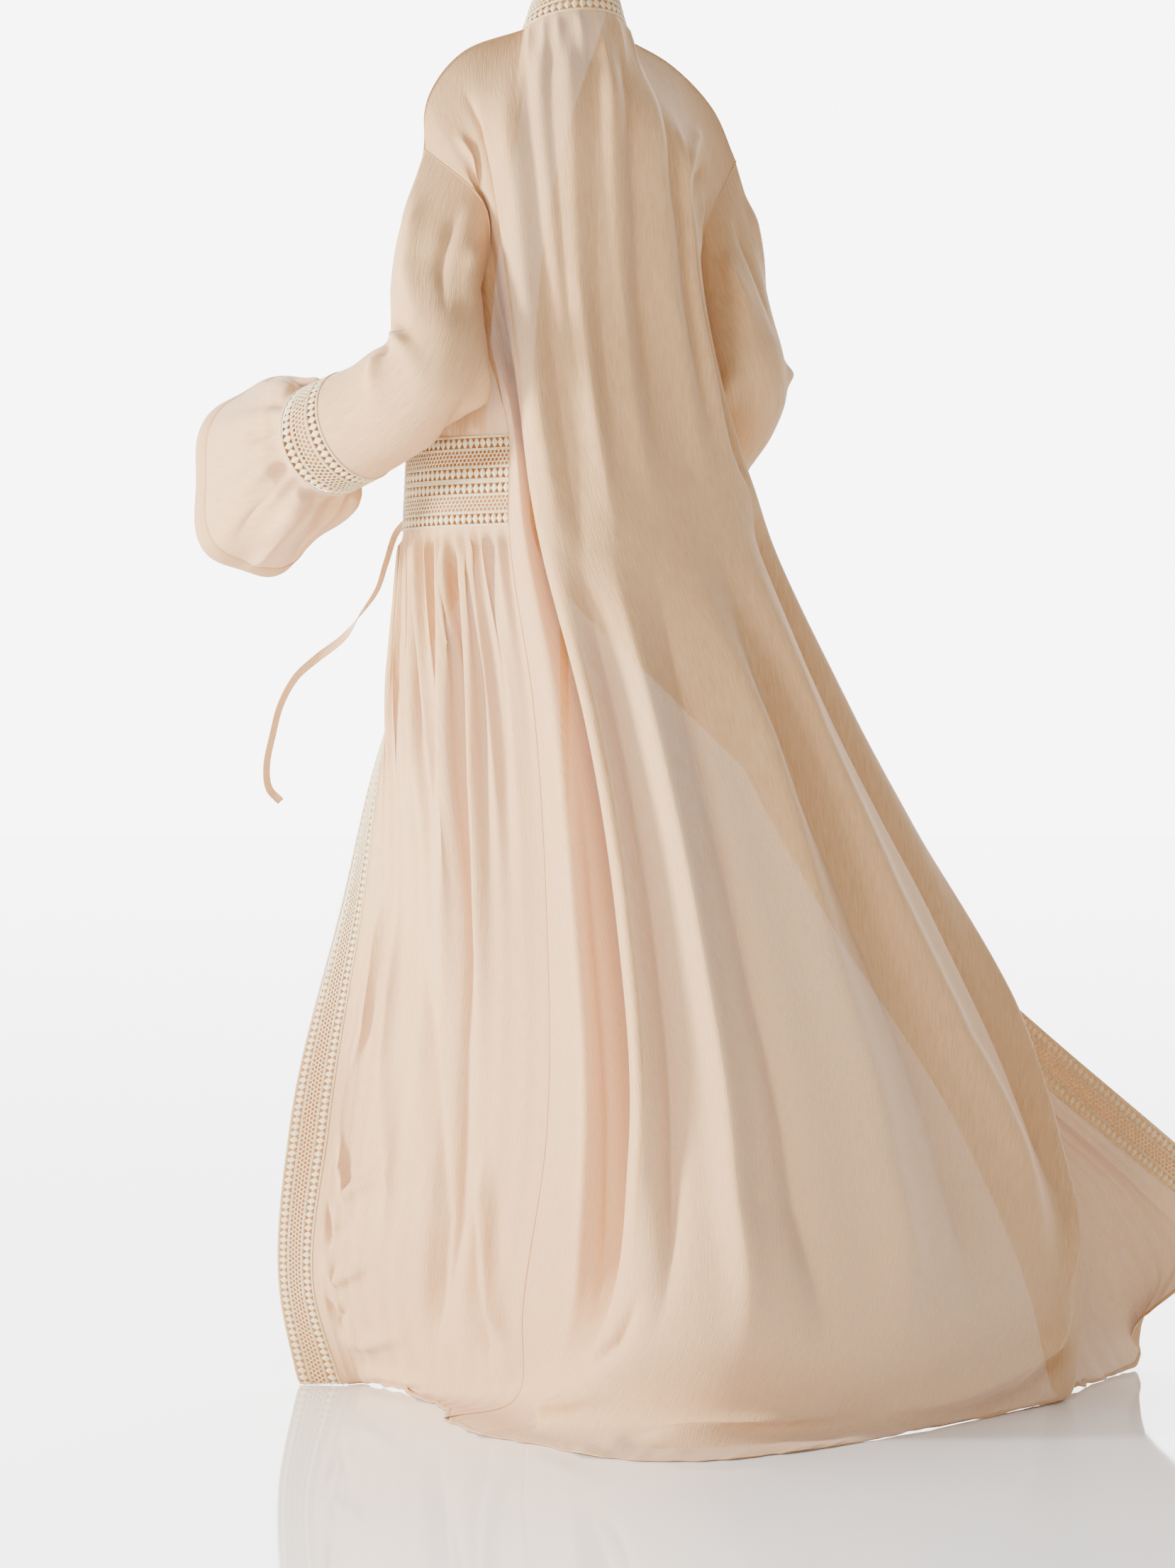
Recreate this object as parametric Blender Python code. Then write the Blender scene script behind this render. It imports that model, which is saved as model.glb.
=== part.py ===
"""Open abaya in crinkled crepe with crochet lace trims, as it hangs on its wearer, as closed cloth walls.

Metres, +Z up. The origin is the middle of the neck at the height of the nape seam, +X is the wearer's left
and the front faces -Y. The floor lies NAPE_TO_FLOOR below the origin. The sections are measured in plan on
two axes turned TURN from the wearer's: across, to the right as seen from behind, and toward, backwards.
"""

import copy
import math
import random

import bpy
import numpy as np

NAPE_TO_FLOOR = 1.56
TURN = math.radians(25.0)
WALL = 0.0016
LACE_WALL = 0.0014
SEAM_TRIM = 0.00016
FLOOR_LIFT = 0.0009
LACE_WIDTH = 0.050
NECK_HALF_WIDTH = 0.060
NECK_DEPTH = 0.055
NECK_RISE = 0.018
COLLAR_TOP_HALF_WIDTH = 0.047
COLLAR_TOP_DEPTH = 0.046
COLLAR_TOP_SIDE = 0.022
COLLAR_TOP_BACK = 0.048
GAP_WIDE = 0.0062
GAP_HIGH = 0.0052
GAP_FROM_EDGE = 0.0105
TIE_WIDTH = 0.0095
TIE_WALL = 0.0015
ARMHOLE_TRIM = 0.0007
LACE_EDGE_TRIM = 0.0007
SEAM_MATCH = 0.00005
SHARP_ANGLE = math.radians(35.0)

SHOULDER_COLUMNS = 9
NECK_COLUMNS = 8
BACK_COLUMNS = 2 * SHOULDER_COLUMNS + NECK_COLUMNS
SKIRT_COLUMNS = 24
WAIST_COLUMNS = 10
BELL_COLUMNS = 32
BELL_RINGS = 5

# Skirt gathers: depth as a share of the columns' spacing, share of the height over which they start,
# share of the depth lost by the hem, and the limits of each one's own strength
GATHERS = SKIRT_COLUMNS / 2
GATHER_DEPTH = 0.36
GATHER_START = 0.12
GATHER_FADE = 0.3
GATHER_STRENGTH = (0.45, 1.25)
GATHER_SEED = 7

# Bell: small gathers at the lace that die out down the bell, and large waves that grow to the hem
BELL_GATHER_DEPTH = 0.0035
BELL_GATHER_START = 0.2
BELL_WAVES = 5
BELL_WAVE_DEPTH = 0.009
BELL_WAVE_TURN = 0.7
BELL_SWELL_POWER = 0.65
ARM_OUT_TILT = 0.3
BEND_PASSES = 3

# Levels down the garment: name, height, share of the shoulder line's own height kept, path, rows below it
LEVELS = (
    ("shoulder", 0.0, 1.00, 0.00, 3),
    ("yoke", -0.33, 0.66, 0.11, 3),
    ("blades", -0.33, 0.33, 0.22, 2),
    ("underarm", -0.33, 0.0, 0.33, 3),
    ("waist_top", -0.47, 0.0, 0.47, 4),
    ("waist_foot", -0.57, 0.0, 0.57, 3),
    ("hip", -0.77, 0.0, 0.77, 3),
    ("thigh", -1.00, 0.0, 1.00, 4),
    ("knee", -1.25, 0.0, 1.26, 3),
    ("shin", -1.45, 0.0, 1.46, 2),
    ("floor_break", -1.54, 0.0, 1.56, 2),
    ("hem", -1.5585, 0.0, 1.70, 0),
)

# Shoulder line from the drop of the shoulder to the side of the neck: X, Y, Z
SHOULDER_LEFT = (
    (0.173, -0.014, -0.155),
    (0.171, -0.009, -0.098),
    (0.132, -0.002, -0.047),
    (0.060, 0.0, -0.018),
)
SHOULDER_RIGHT = (
    (-0.200, 0.006, -0.150),
    (-0.172, 0.003, -0.092),
    (-0.122, 0.0, -0.046),
    (-0.060, 0.0, -0.018),
)

# Back sections: across and toward of the left seam, strip beside it, deep valley, big ridge, hollow,
# middle, swell, turn at the right, return behind it, and right seam
BACK_COLUMNS_AT = (0, 2, 4.5, 7, 10, 13, 16, 20, 23, 26)

BACK_SECTIONS = {
    "yoke": (
        (-0.100, 0.092), (-0.112, 0.085), (-0.108, 0.080), (-0.098, 0.090), (-0.040, 0.108),
        (0.044, 0.098), (0.095, 0.055), (0.126, 0.015), (0.145, -0.030), (0.156, -0.046),
    ),
    "blades": (
        (-0.092, 0.085), (-0.097, 0.082), (-0.090, 0.085), (-0.083, 0.108), (-0.025, 0.125),
        (0.050, 0.108), (0.108, 0.062), (0.138, 0.025), (0.135, -0.014), (0.134, -0.042),
    ),
    "underarm": (
        (-0.105, 0.060), (-0.092, 0.072), (-0.078, 0.070), (-0.071, 0.120), (-0.012, 0.135),
        (0.053, 0.113), (0.112, 0.075), (0.150, 0.030), (0.131, -0.008), (0.1175, -0.044),
    ),
    "waist_top": (
        (-0.070, 0.080), (-0.064, 0.098), (-0.047, 0.075), (-0.055, 0.145), (0.010, 0.155),
        (0.065, 0.130), (0.125, 0.088), (0.184, 0.032), (0.148, 0.000), (0.113, -0.0305),
    ),
    "waist_foot": (
        (-0.070, 0.080), (-0.054, 0.102), (-0.030, 0.070), (-0.038, 0.155), (0.030, 0.165),
        (0.090, 0.140), (0.155, 0.090), (0.218, 0.015), (0.168, -0.022), (0.115, -0.032),
    ),
    "hip": (
        (-0.043, 0.080), (-0.015, 0.106), (0.025, 0.060), (0.012, 0.175), (0.075, 0.185),
        (0.150, 0.155), (0.225, 0.085), (0.313, -0.035), (0.255, -0.085), (0.165, -0.075),
    ),
    "thigh": (
        (-0.029, 0.050), (0.010, 0.090), (0.062, 0.045), (0.048, 0.190), (0.115, 0.205),
        (0.205, 0.180), (0.315, 0.090), (0.438, -0.095), (0.388, -0.160), (0.287, -0.130),
    ),
    "knee": (
        (-0.030, 0.010), (0.018, 0.060), (0.076, 0.035), (0.061, 0.195), (0.135, 0.220),
        (0.245, 0.200), (0.390, 0.090), (0.541, -0.130), (0.515, -0.205), (0.445, -0.185),
    ),
    "shin": (
        (-0.057, -0.050), (-0.005, 0.005), (0.045, 0.035), (0.030, 0.160), (0.120, 0.225),
        (0.235, 0.215), (0.390, 0.110), (0.574, -0.135), (0.575, -0.200), (0.530, -0.205),
    ),
    "floor_break": (
        (-0.060, -0.075), (-0.035, -0.015), (-0.012, 0.060), (-0.025, 0.110), (0.080, 0.190),
        (0.190, 0.200), (0.360, 0.100), (0.555, -0.115), (0.575, -0.165), (0.550, -0.200),
    ),
    "hem": (
        (-0.140, 0.010), (-0.125, 0.075), (-0.085, 0.155), (-0.035, 0.220), (0.050, 0.320),
        (0.150, 0.330), (0.300, 0.205), (0.500, -0.070), (0.545, -0.140), (0.562, -0.185),
    ),
}

# The back is one cut, but its wall is made in simple parts that meet at these columns and at one level
BACK_PARTS = (("left", 0, 8), ("middle", 8, 17), ("right", 17, 26))
BACK_JOIN = "hip"

# Left front sections: across and toward of the points from the side seam to the lace's free edge. Above
# the underarm the seam point lies on the front of the armhole
FRONT_LEFT = {
    "yoke": ((-0.178, 0.000), (-0.158, -0.032), (-0.127, -0.062), (-0.063, -0.064)),
    "blades": ((-0.170, -0.012), (-0.167, -0.040), (-0.148, -0.080), (-0.083, -0.111)),
    "underarm": ((-0.105, 0.060), (-0.143, 0.001), (-0.159, -0.080), (-0.095, -0.138)),
    "waist_top": ((-0.070, 0.080), (-0.150, 0.022), (-0.184, -0.060), (-0.103, -0.150)),
    "waist_foot": ((-0.070, 0.080), (-0.153, 0.020), (-0.190, -0.062), (-0.106, -0.158)),
    "hip": ((-0.043, 0.080), (-0.140, 0.030), (-0.206, -0.070), (-0.208, -0.190)),
    "thigh": ((-0.029, 0.050), (-0.125, -0.005), (-0.205, -0.122), (-0.270, -0.222)),
    "knee": ((-0.030, 0.010), (-0.135, -0.080), (-0.238, -0.215), (-0.331, -0.250)),
    "shin": ((-0.057, -0.050), (-0.150, -0.145), (-0.258, -0.228), (-0.345, -0.280)),
    "floor_break": ((-0.060, -0.075), (-0.145, -0.165), (-0.240, -0.275), (-0.328, -0.288)),
    "hem": ((-0.140, 0.010), (-0.160, -0.120), (-0.238, -0.290), (-0.318, -0.285)),
}
FRONT_LEFT_AT = (0.0, 0.33, 0.70, 1.0)

# Right front sections, which lift where the front is held out: across, toward, and height where it isn't
# the level's own
FRONT_RIGHT = {
    "yoke": ((0.142, -0.121), (0.096, -0.138), (0.060, -0.144), (0.031, -0.134), (-0.009, -0.090)),
    "blades": ((0.128, -0.115), (0.093, -0.143), (0.058, -0.160), (0.020, -0.163), (-0.032, -0.134)),
    "underarm": ((0.1175, -0.044), (0.097, -0.100), (0.058, -0.148), (0.028, -0.166), (-0.043, -0.163)),
    "waist_top": ((0.113, -0.0305), (0.092, -0.088), (0.053, -0.138), (0.024, -0.160), (-0.048, -0.176)),
    "waist_foot": ((0.115, -0.032), (0.097, -0.092), (0.060, -0.142), (0.030, -0.166), (-0.045, -0.186)),
    "hip": (
        (0.165, -0.075), (0.178, -0.122, -0.772), (0.180, -0.160, -0.774),
        (0.165, -0.195, -0.772), (0.115, -0.245, -0.750),
    ),
    "thigh": (
        (0.287, -0.130), (0.306, -0.165, -1.002), (0.316, -0.197, -1.003),
        (0.320, -0.230, -1.002), (0.352, -0.280, -0.966),
    ),
    "knee": (
        (0.445, -0.185), (0.478, -0.230, -1.245), (0.502, -0.268, -1.238),
        (0.518, -0.295, -1.215), (0.555, -0.292, -1.146),
    ),
    "shin": (
        (0.530, -0.205), (0.580, -0.290, -1.428), (0.622, -0.330, -1.400),
        (0.658, -0.318, -1.355), (0.706, -0.280, -1.276),
    ),
    "floor_break": (
        (0.550, -0.200), (0.622, -0.340, -1.515), (0.666, -0.395, -1.485),
        (0.700, -0.350, -1.425), (0.775, -0.272, -1.338),
    ),
    "hem": (
        (0.562, -0.185), (0.650, -0.385, -1.5585), (0.684, -0.440, -1.546),
        (0.672, -0.398, -1.506), (0.803, -0.268, -1.368),
    ),
}
FRONT_RIGHT_AT = (0.0, 0.25, 0.5, 0.75, 1.0)

# Sleeve rings: X, Y, Z of the middle, half width, half height, share of the armhole's own shape kept
SLEEVE_LEFT = (
    (0.166, 0.004, -0.285, 0.056, 0.062, 0.60),
    (0.172, 0.014, -0.318, 0.053, 0.060, 0.25),
    (0.177, 0.030, -0.346, 0.051, 0.058, 0.08),
    (0.183, 0.047, -0.376, 0.053, 0.062, 0.0),
    (0.192, 0.044, -0.406, 0.058, 0.066, 0.0),
    (0.207, 0.018, -0.428, 0.060, 0.065, 0.0),
    (0.224, -0.014, -0.446, 0.059, 0.062, 0.0),
    (0.240, -0.046, -0.459, 0.061, 0.063, 0.0),
)
SLEEVE_RIGHT = (
    (-0.178, 0.006, -0.285, 0.054, 0.062, 0.60),
    (-0.184, 0.012, -0.318, 0.051, 0.060, 0.25),
    (-0.187, 0.022, -0.346, 0.049, 0.058, 0.08),
    (-0.190, 0.032, -0.376, 0.050, 0.060, 0.0),
    (-0.193, 0.024, -0.406, 0.054, 0.064, 0.0),
    (-0.195, -0.004, -0.428, 0.056, 0.064, 0.0),
    (-0.197, -0.036, -0.446, 0.056, 0.062, 0.0),
    (-0.199, -0.068, -0.458, 0.058, 0.063, 0.0),
)
# The cuff lace ends and the bell's hem: X, Y, Z of the middle, half width, half height
CUFF_END = {
    "left": (0.259, -0.088, -0.473, 0.062, 0.064),
    "right": (-0.205, -0.114, -0.472, 0.060, 0.064),
}
BELL_HEM = {
    "left": (0.283, -0.228, -0.507, 0.086, 0.124),
    "right": (-0.243, -0.268, -0.514, 0.096, 0.116),
}

# Direction that each tie's flat faces where it is sewn on the lace, and its route from there to its free
# end: X, Y, Z, turn of the flat in degrees
TIE_FACE = {"left": (0.35, -0.93, 0.0), "right": (-0.6, -0.8, 0.0)}
TIE_LEFT = (
    (0.0662, -0.1689, -0.520, 0), (0.0752, -0.1654, -0.521, 0), (0.0848, -0.1632, -0.5235, 0),
    (0.0945, -0.1670, -0.5295, 0), (0.107, -0.1775, -0.5415, 0), (0.128, -0.199, -0.565, 5),
    (0.141, -0.201, -0.600, 10), (0.152, -0.203, -0.633, 20), (0.172, -0.208, -0.663, 50),
    (0.190, -0.213, -0.688, 110), (0.218, -0.222, -0.711, 165), (0.241, -0.229, -0.733, 180),
    (0.257, -0.235, -0.764, 180), (0.266, -0.238, -0.800, 180), (0.272, -0.240, -0.832, 176),
    (0.270, -0.239, -0.858, 170), (0.257, -0.235, -0.874, 165),
)
TIE_RIGHT = (
    (-0.0718, -0.1537, -0.512, 0), (-0.0722, -0.1552, -0.530, 0), (-0.0738, -0.1588, -0.550, 0),
    (-0.0760, -0.1660, -0.575, 0), (-0.0780, -0.1805, -0.605, 0), (-0.0800, -0.1960, -0.640, 3),
    (-0.0830, -0.2040, -0.690, 10), (-0.0860, -0.2090, -0.750, 20), (-0.0880, -0.2130, -0.810, 28),
    (-0.0900, -0.2160, -0.870, 32), (-0.0910, -0.2180, -0.905, 34),
)

COLOURS = {
    "crepe": (0.60, 0.44, 0.33),
    "lace": (0.75, 0.65, 0.52),
    "ribbon": (0.68, 0.54, 0.43),
}
ROUGHNESS = {"crepe": 0.75, "lace": 0.85, "ribbon": 0.6}


def plan(across, toward, height):
    """X, Y, Z of a point measured on the turned plan axes."""
    x = toward * math.sin(TURN) - across * math.cos(TURN)
    y = toward * math.cos(TURN) + across * math.sin(TURN)
    return np.array((x, y, height))


def through(knots, values, at):
    """Values on a smooth curve through the given ones, at the asked places between the knots."""
    knots = np.asarray(knots, float)
    values = np.asarray(values, float)
    steps = np.diff(knots)
    shape = (-1,) + (1,) * (values.ndim - 1)
    rates = np.diff(values, axis=0) / steps.reshape(shape)
    before = steps[:-1].reshape(shape)
    after = steps[1:].reshape(shape)
    middle = (rates[:-1] * after + rates[1:] * before) / (before + after)
    slopes = np.concatenate([rates[:1], middle, rates[-1:]])
    at = np.asarray(at, float)
    index = np.clip(np.searchsorted(knots, at, side="right") - 1, 0, len(knots) - 2)
    share = ((at - knots[index]) / steps[index]).reshape(shape)
    width = steps[index].reshape(shape)
    left = 1 - share
    start = values[index] * (1 + 2 * share) + slopes[index] * width * share
    end = values[index + 1] * (1 + 2 * left) - slopes[index + 1] * width * left
    return start * left ** 2 + end * share ** 2


def path_samples():
    """Places down the garment where the walls have a row, and the row at which each level lies."""
    places = []
    row_of = {}
    for here, below in zip(LEVELS[:-1], LEVELS[1:]):
        row_of[here[0]] = len(places)
        places.extend(np.linspace(here[3], below[3], here[4], endpoint=False))
    row_of[LEVELS[-1][0]] = len(places)
    places.append(LEVELS[-1][3])
    return np.array(places), row_of


PATH, ROW_OF = path_samples()
LEVEL_PATH = [level[3] for level in LEVELS]


def neck_line(turns):
    """Points of the neck seam, at turns from the left side of the neck round the nape to the right."""
    height = NECK_RISE * (np.sin(turns) - 1)
    return np.stack([NECK_HALF_WIDTH * np.cos(turns), NECK_DEPTH * np.sin(turns), height], axis=1)


def shoulder_line():
    """Top of the back: left shoulder, arc of the neck, right shoulder."""
    knots = np.linspace(0, SHOULDER_COLUMNS, len(SHOULDER_LEFT))
    left = through(knots, SHOULDER_LEFT, np.arange(SHOULDER_COLUMNS + 1))
    right = through(knots, SHOULDER_RIGHT, np.arange(SHOULDER_COLUMNS + 1))[::-1]
    turns = np.linspace(0, math.pi, NECK_COLUMNS + 1)[1:-1]
    return np.concatenate([left, neck_line(turns), right])


def back_grid():
    """Mid surface of the back, rows down the path and columns from the left seam to the right."""
    top = shoulder_line()
    sections = [top]
    for name, height, kept, _, _ in LEVELS[1:]:
        places = through(BACK_COLUMNS_AT, BACK_SECTIONS[name], np.arange(BACK_COLUMNS + 1))
        heights = kept * top[:, 2] + (1 - kept) * height
        sections.append([plan(a, t, z) for (a, t), z in zip(places, heights)])
    return through(LEVEL_PATH, np.array(sections), PATH)


def front_levels(side):
    """For each level, the points from the seam to the cloth's front edge, then the lace's free edge."""
    table, sign = (FRONT_LEFT, 1) if side == "left" else (FRONT_RIGHT, -1)
    shoulder = SHOULDER_LEFT if side == "left" else SHOULDER_RIGHT
    neck_side = np.array((sign * NECK_HALF_WIDTH, 0.0, -NECK_RISE))
    collar_side = np.array((sign * COLLAR_TOP_HALF_WIDTH, 0.0, COLLAR_TOP_SIDE))
    stations = FRONT_LEFT_AT if side == "left" else FRONT_RIGHT_AT
    columns = np.linspace(0, 1, len(shoulder))
    top = through(columns, shoulder, stations)
    levels = [np.concatenate([top[:-1], [neck_side, collar_side]])]
    for name, height, kept, _, _ in LEVELS[1:]:
        points = []
        for (across, toward, *own), start in zip(table[name], top):
            level_height = kept * start[2] + (1 - kept) * height
            points.append(plan(across, toward, own[0] if own else level_height))
        inward = points[-2] - points[-1]
        cloth_edge = points[-1] + inward * LACE_WIDTH / np.linalg.norm(inward)
        levels.append(np.array(points[:-1] + [cloth_edge, points[-1]]))
    return np.array(levels), stations


def front_grid(side, back, at):
    """Mid surface of a front at the given shares of its width, and its lace's two edges."""
    levels, stations = front_levels(side)
    cloth = through(stations, levels[:, :-1].transpose(1, 0, 2), at).transpose(1, 0, 2)
    if len(at) == SHOULDER_COLUMNS + 1:
        shoulder = SHOULDER_LEFT if side == "left" else SHOULDER_RIGHT
        cloth[0] = through(np.linspace(0, 1, len(shoulder)), shoulder, at)
    grid = through(LEVEL_PATH, cloth, PATH)
    seam_column = 0 if side == "left" else -1
    first = ROW_OF["underarm"]
    grid[first:, 0] = back[first:, seam_column]
    edges = through(LEVEL_PATH, levels[:, -2:], PATH)
    grid[:, -1] = edges[:, 0]
    return grid, edges


def gathers(grid, sign):
    """Push a skirt's columns out and in unevenly by a share of their spacing, from none at the lace."""
    rng = random.Random(GATHER_SEED)
    out = normals_of(grid, sign)
    rows, columns = grid.shape[:2]
    shares = np.linspace(0, 1, columns)
    strength = np.array([rng.uniform(*GATHER_STRENGTH) for _ in range(columns)])
    strength[0] = 0.0
    strength[-1] = 0.0
    wave = np.cos(2 * math.pi * GATHERS * shares) * strength
    down = np.linspace(0, 1, rows)
    profile = np.minimum(down / GATHER_START, 1.0) * (1 - GATHER_FADE * down)
    spacing = np.linalg.norm(np.gradient(grid, axis=1), axis=2)
    return grid + out * (GATHER_DEPTH * spacing * profile[:, None] * wave[None, :])[..., None]


def normals_of(grid, sign, around=False):
    """Outward unit normals of a grid of points."""
    if around:
        along = np.roll(grid, -1, axis=1) - np.roll(grid, 1, axis=1)
    else:
        along = np.gradient(grid, axis=1)
    down = np.gradient(grid, axis=0)
    normals = np.cross(down, along) * sign
    return normals / np.linalg.norm(normals, axis=2, keepdims=True)


class Panel:
    """A piece of cloth before its wall is made: points, outward normals, and whether it closes round."""

    def __init__(self, name, grid, sign, material, around=False, wall=WALL, gaps=None, first_trims=None):
        self.name = name
        self.grid = np.array(grid)
        self.normals = normals_of(self.grid, sign, around)
        self.material = material
        self.around = around
        self.wall = wall
        self.gaps = gaps
        self.first_trims = first_trims or (SEAM_TRIM, SEAM_TRIM)

    def cut(self, name, rows, columns):
        """The panel between two rows and two columns, with its own normals kept."""
        rows = np.arange(rows[0], rows[1] + 1)
        columns = np.arange(columns[0], columns[1] + 1) % self.grid.shape[1]
        made = copy.copy(self)
        made.name = name
        made.grid = self.grid[np.ix_(rows, columns)]
        made.normals = self.normals[np.ix_(rows, columns)]
        made.around = False
        return made

    def parts(self):
        """The simple parts that the panel's wall is made in."""
        last_row = len(self.grid) - 1
        if self.name == "back":
            join = ROW_OF[BACK_JOIN]
            for name, first, last in BACK_PARTS:
                yield self.cut(f"back_{name}_upper", (0, join), (first, last))
                yield self.cut(f"back_{name}_lower", (join, last_row), (first, last))
        elif self.name.startswith("sleeve"):
            count = self.grid.shape[1]
            yield self.cut(self.name + "_under", (0, last_row), (0, count // 2))
            yield self.cut(self.name + "_over", (0, last_row), (count // 2, count))
        else:
            yield self

    def border(self):
        """Row and column of each point on the panel's open edges."""
        rows, columns = self.grid.shape[:2]
        for column in range(columns):
            yield 0, column
            yield rows - 1, column
        if not self.around:
            for row in range(1, rows - 1):
                yield row, 0
                yield row, columns - 1


def share_normals(panels):
    """Give points that panels share at a seam one normal, so that their walls end in one mitre."""
    found = {}
    for panel in panels:
        for row, column in panel.border():
            key = tuple(np.round(panel.grid[row, column] / SEAM_MATCH).astype(int))
            found.setdefault(key, []).append((panel, row, column))
    for places in found.values():
        total = sum(panel.normals[row, column] for panel, row, column in places)
        total = total / np.linalg.norm(total)
        for panel, row, column in places:
            panel.normals[row, column] = total


def trim(panel):
    """Pull a panel's open edges back by half the seam's gap, or more where it turns at the seam."""
    grid = panel.grid
    first_row, first_column = panel.first_trims
    for edge, inner, length in ((0, 1, first_row), (-1, -2, SEAM_TRIM)):
        step = grid[inner] - grid[edge]
        grid[edge] += step * length / np.linalg.norm(step, axis=1, keepdims=True)
    if panel.around:
        return
    for edge, inner, length in ((0, 1, first_column), (-1, -2, SEAM_TRIM)):
        step = grid[:, inner] - grid[:, edge]
        grid[:, edge] += step * length / np.linalg.norm(step, axis=1, keepdims=True)


def gap_corners(corners, at_start):
    """Three corners of a lace gap inside a cell, as shares along and across it."""
    along = np.linalg.norm(corners[1] - corners[0])
    across = np.linalg.norm(corners[3] - corners[0])
    wide = 0.5 * GAP_WIDE / along
    high = GAP_HIGH / across
    foot = (GAP_FROM_EDGE - 0.5 * GAP_HIGH) / across
    if at_start:
        return ((0.5 - wide, foot), (0.5 + wide, foot), (0.5, foot + high))
    return ((0.5 - wide, 1 - foot - high), (0.5 + wide, 1 - foot - high), (0.5, 1 - foot))


def add_wall(panel):
    """Build the closed wall of a panel as an object of its own."""
    trim(panel)
    low = -NAPE_TO_FLOOR
    panel.grid[..., 2] = np.maximum(panel.grid[..., 2], low + FLOOR_LIFT)
    rows, columns = panel.grid.shape[:2]
    outer = panel.grid + panel.normals * panel.wall / 2
    inner = panel.grid - panel.normals * panel.wall / 2
    outer[..., 2] = np.maximum(outer[..., 2], low)
    inner[..., 2] = np.maximum(inner[..., 2], low)
    points = list(outer.reshape(-1, 3)) + list(inner.reshape(-1, 3))
    count = rows * columns
    faces = []

    def at(row, column):
        return row * columns + column % columns

    def both(a, b, c):
        faces.append((a, b, c))
        faces.append((a + count, c + count, b + count))

    def side(a, b):
        faces.append((b, a, a + count))
        faces.append((b, a + count, b + count))

    def pierce(cell, gap):
        """Triangles round a gap in one cell, and the gap's own sides."""
        marks = []
        for along, across in gap:
            for surface in (0, count):
                corners = [points[c + surface] for c in cell]
                near = corners[0] * (1 - along) + corners[1] * along
                far = corners[3] * (1 - along) + corners[2] * along
                marks.append(near * (1 - across) + far * across)
        first = len(points)
        points.extend(marks)
        top = (first, first + 2, first + 4)
        ring = ((0, 1, top[0]), (1, top[1], top[0]), (1, 2, top[1]), (2, top[2], top[1]),
                (2, 3, top[2]), (3, top[0], top[2]), (3, 0, top[0]))
        for corners in ring:
            outside = [cell[c] if c < 4 else c for c in corners]
            inside = [cell[c] + count if c < 4 else c + 1 for c in corners]
            faces.append(tuple(outside))
            faces.append(tuple(reversed(inside)))
        for a, b in ((top[0], top[1]), (top[1], top[2]), (top[2], top[0])):
            faces.append((a, b, b + 1))
            faces.append((a, b + 1, a + 1))

    last = columns if panel.around else columns - 1
    for row in range(rows - 1):
        for column in range(last):
            cell = (at(row, column), at(row, column + 1), at(row + 1, column + 1), at(row + 1, column))
            corners = [points[c] for c in cell]
            gap = panel.gaps and panel.gaps(row, column, corners)
            if gap:
                pierce(cell, gap)
            elif np.linalg.norm(corners[0] - corners[2]) < np.linalg.norm(corners[1] - corners[3]):
                both(cell[0], cell[1], cell[2])
                both(cell[0], cell[2], cell[3])
            else:
                both(cell[0], cell[1], cell[3])
                both(cell[1], cell[2], cell[3])
    for column in range(last):
        side(at(0, column), at(0, column + 1))
        side(at(rows - 1, column + 1), at(rows - 1, column))
    if not panel.around:
        for row in range(rows - 1):
            side(at(row + 1, 0), at(row, 0))
            side(at(row, columns - 1), at(row + 1, columns - 1))
    return add_object(panel.name, points, faces, panel.material)


def add_object(name, points, faces, material):
    """A mesh object, turned to face out."""
    points = np.array(points)
    corners = points[np.array(faces)]
    volume = np.einsum("ij,ij->i", corners[:, 0], np.cross(corners[:, 1], corners[:, 2])).sum()
    if volume < 0:
        faces = [tuple(reversed(face)) for face in faces]
    mesh = bpy.data.meshes.new(name)
    mesh.from_pydata(points.tolist(), [], faces)
    mesh.materials.append(material)
    mesh.shade_smooth()
    mesh.set_sharp_from_angle(angle=SHARP_ANGLE)
    made = bpy.data.objects.new(name, mesh)
    bpy.context.scene.collection.objects.link(made)
    return made


def add_material(name):
    """A plain cloth finish with the piece's own colour."""
    material = bpy.data.materials.new(name)
    material.use_nodes = True
    shader = material.node_tree.nodes["Principled BSDF"]
    shader.inputs["Base Color"].default_value = (*COLOURS[name], 1.0)
    shader.inputs["Roughness"].default_value = ROUGHNESS[name]
    shader.inputs["Metallic"].default_value = 0.0
    return material


def band_gaps(rows_across):
    """Gaps of a lace band whose cells run across it in row pairs, one gap in the outer part of each cell."""
    def place(row, column, corners):
        if rows_across:
            return gap_corners(corners, row % 2 == 0)
        turned = [corners[0], corners[3], corners[2], corners[1]]
        gap = gap_corners(turned, column % 2 == 0)
        first, last, middle = [(across, along) for along, across in gap]
        return first, middle, last
    return place


def collar_grid():
    """Neck lace, from the nape seam up, from the left side of the neck to the right."""
    turns = np.linspace(0, math.pi, NECK_COLUMNS + 1)
    foot = neck_line(turns)
    lift = COLLAR_TOP_SIDE + (COLLAR_TOP_BACK - COLLAR_TOP_SIDE) * np.sin(turns)
    top = np.stack([COLLAR_TOP_HALF_WIDTH * np.cos(turns), COLLAR_TOP_DEPTH * np.sin(turns), lift], axis=1)
    return np.array([foot, (foot + top) / 2, top])


def armhole(back, front, seam_column):
    """Points round an armhole: from the shoulder down the back edge, up the front edge."""
    last = ROW_OF["underarm"]
    return np.concatenate([back[:last + 1, seam_column], front[last - 1:0:-1, 0]])


def ring_points(middle, along, out, half_width, half_height, count):
    """Points on an oval ring square to its path, from the out side first towards the back."""
    behind = np.cross(out, along)
    behind = behind / np.linalg.norm(behind)
    turns = np.arange(count) * 2 * math.pi / count
    return [middle + out * half_width * math.cos(t) + behind * half_height * math.sin(t) for t in turns]


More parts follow.
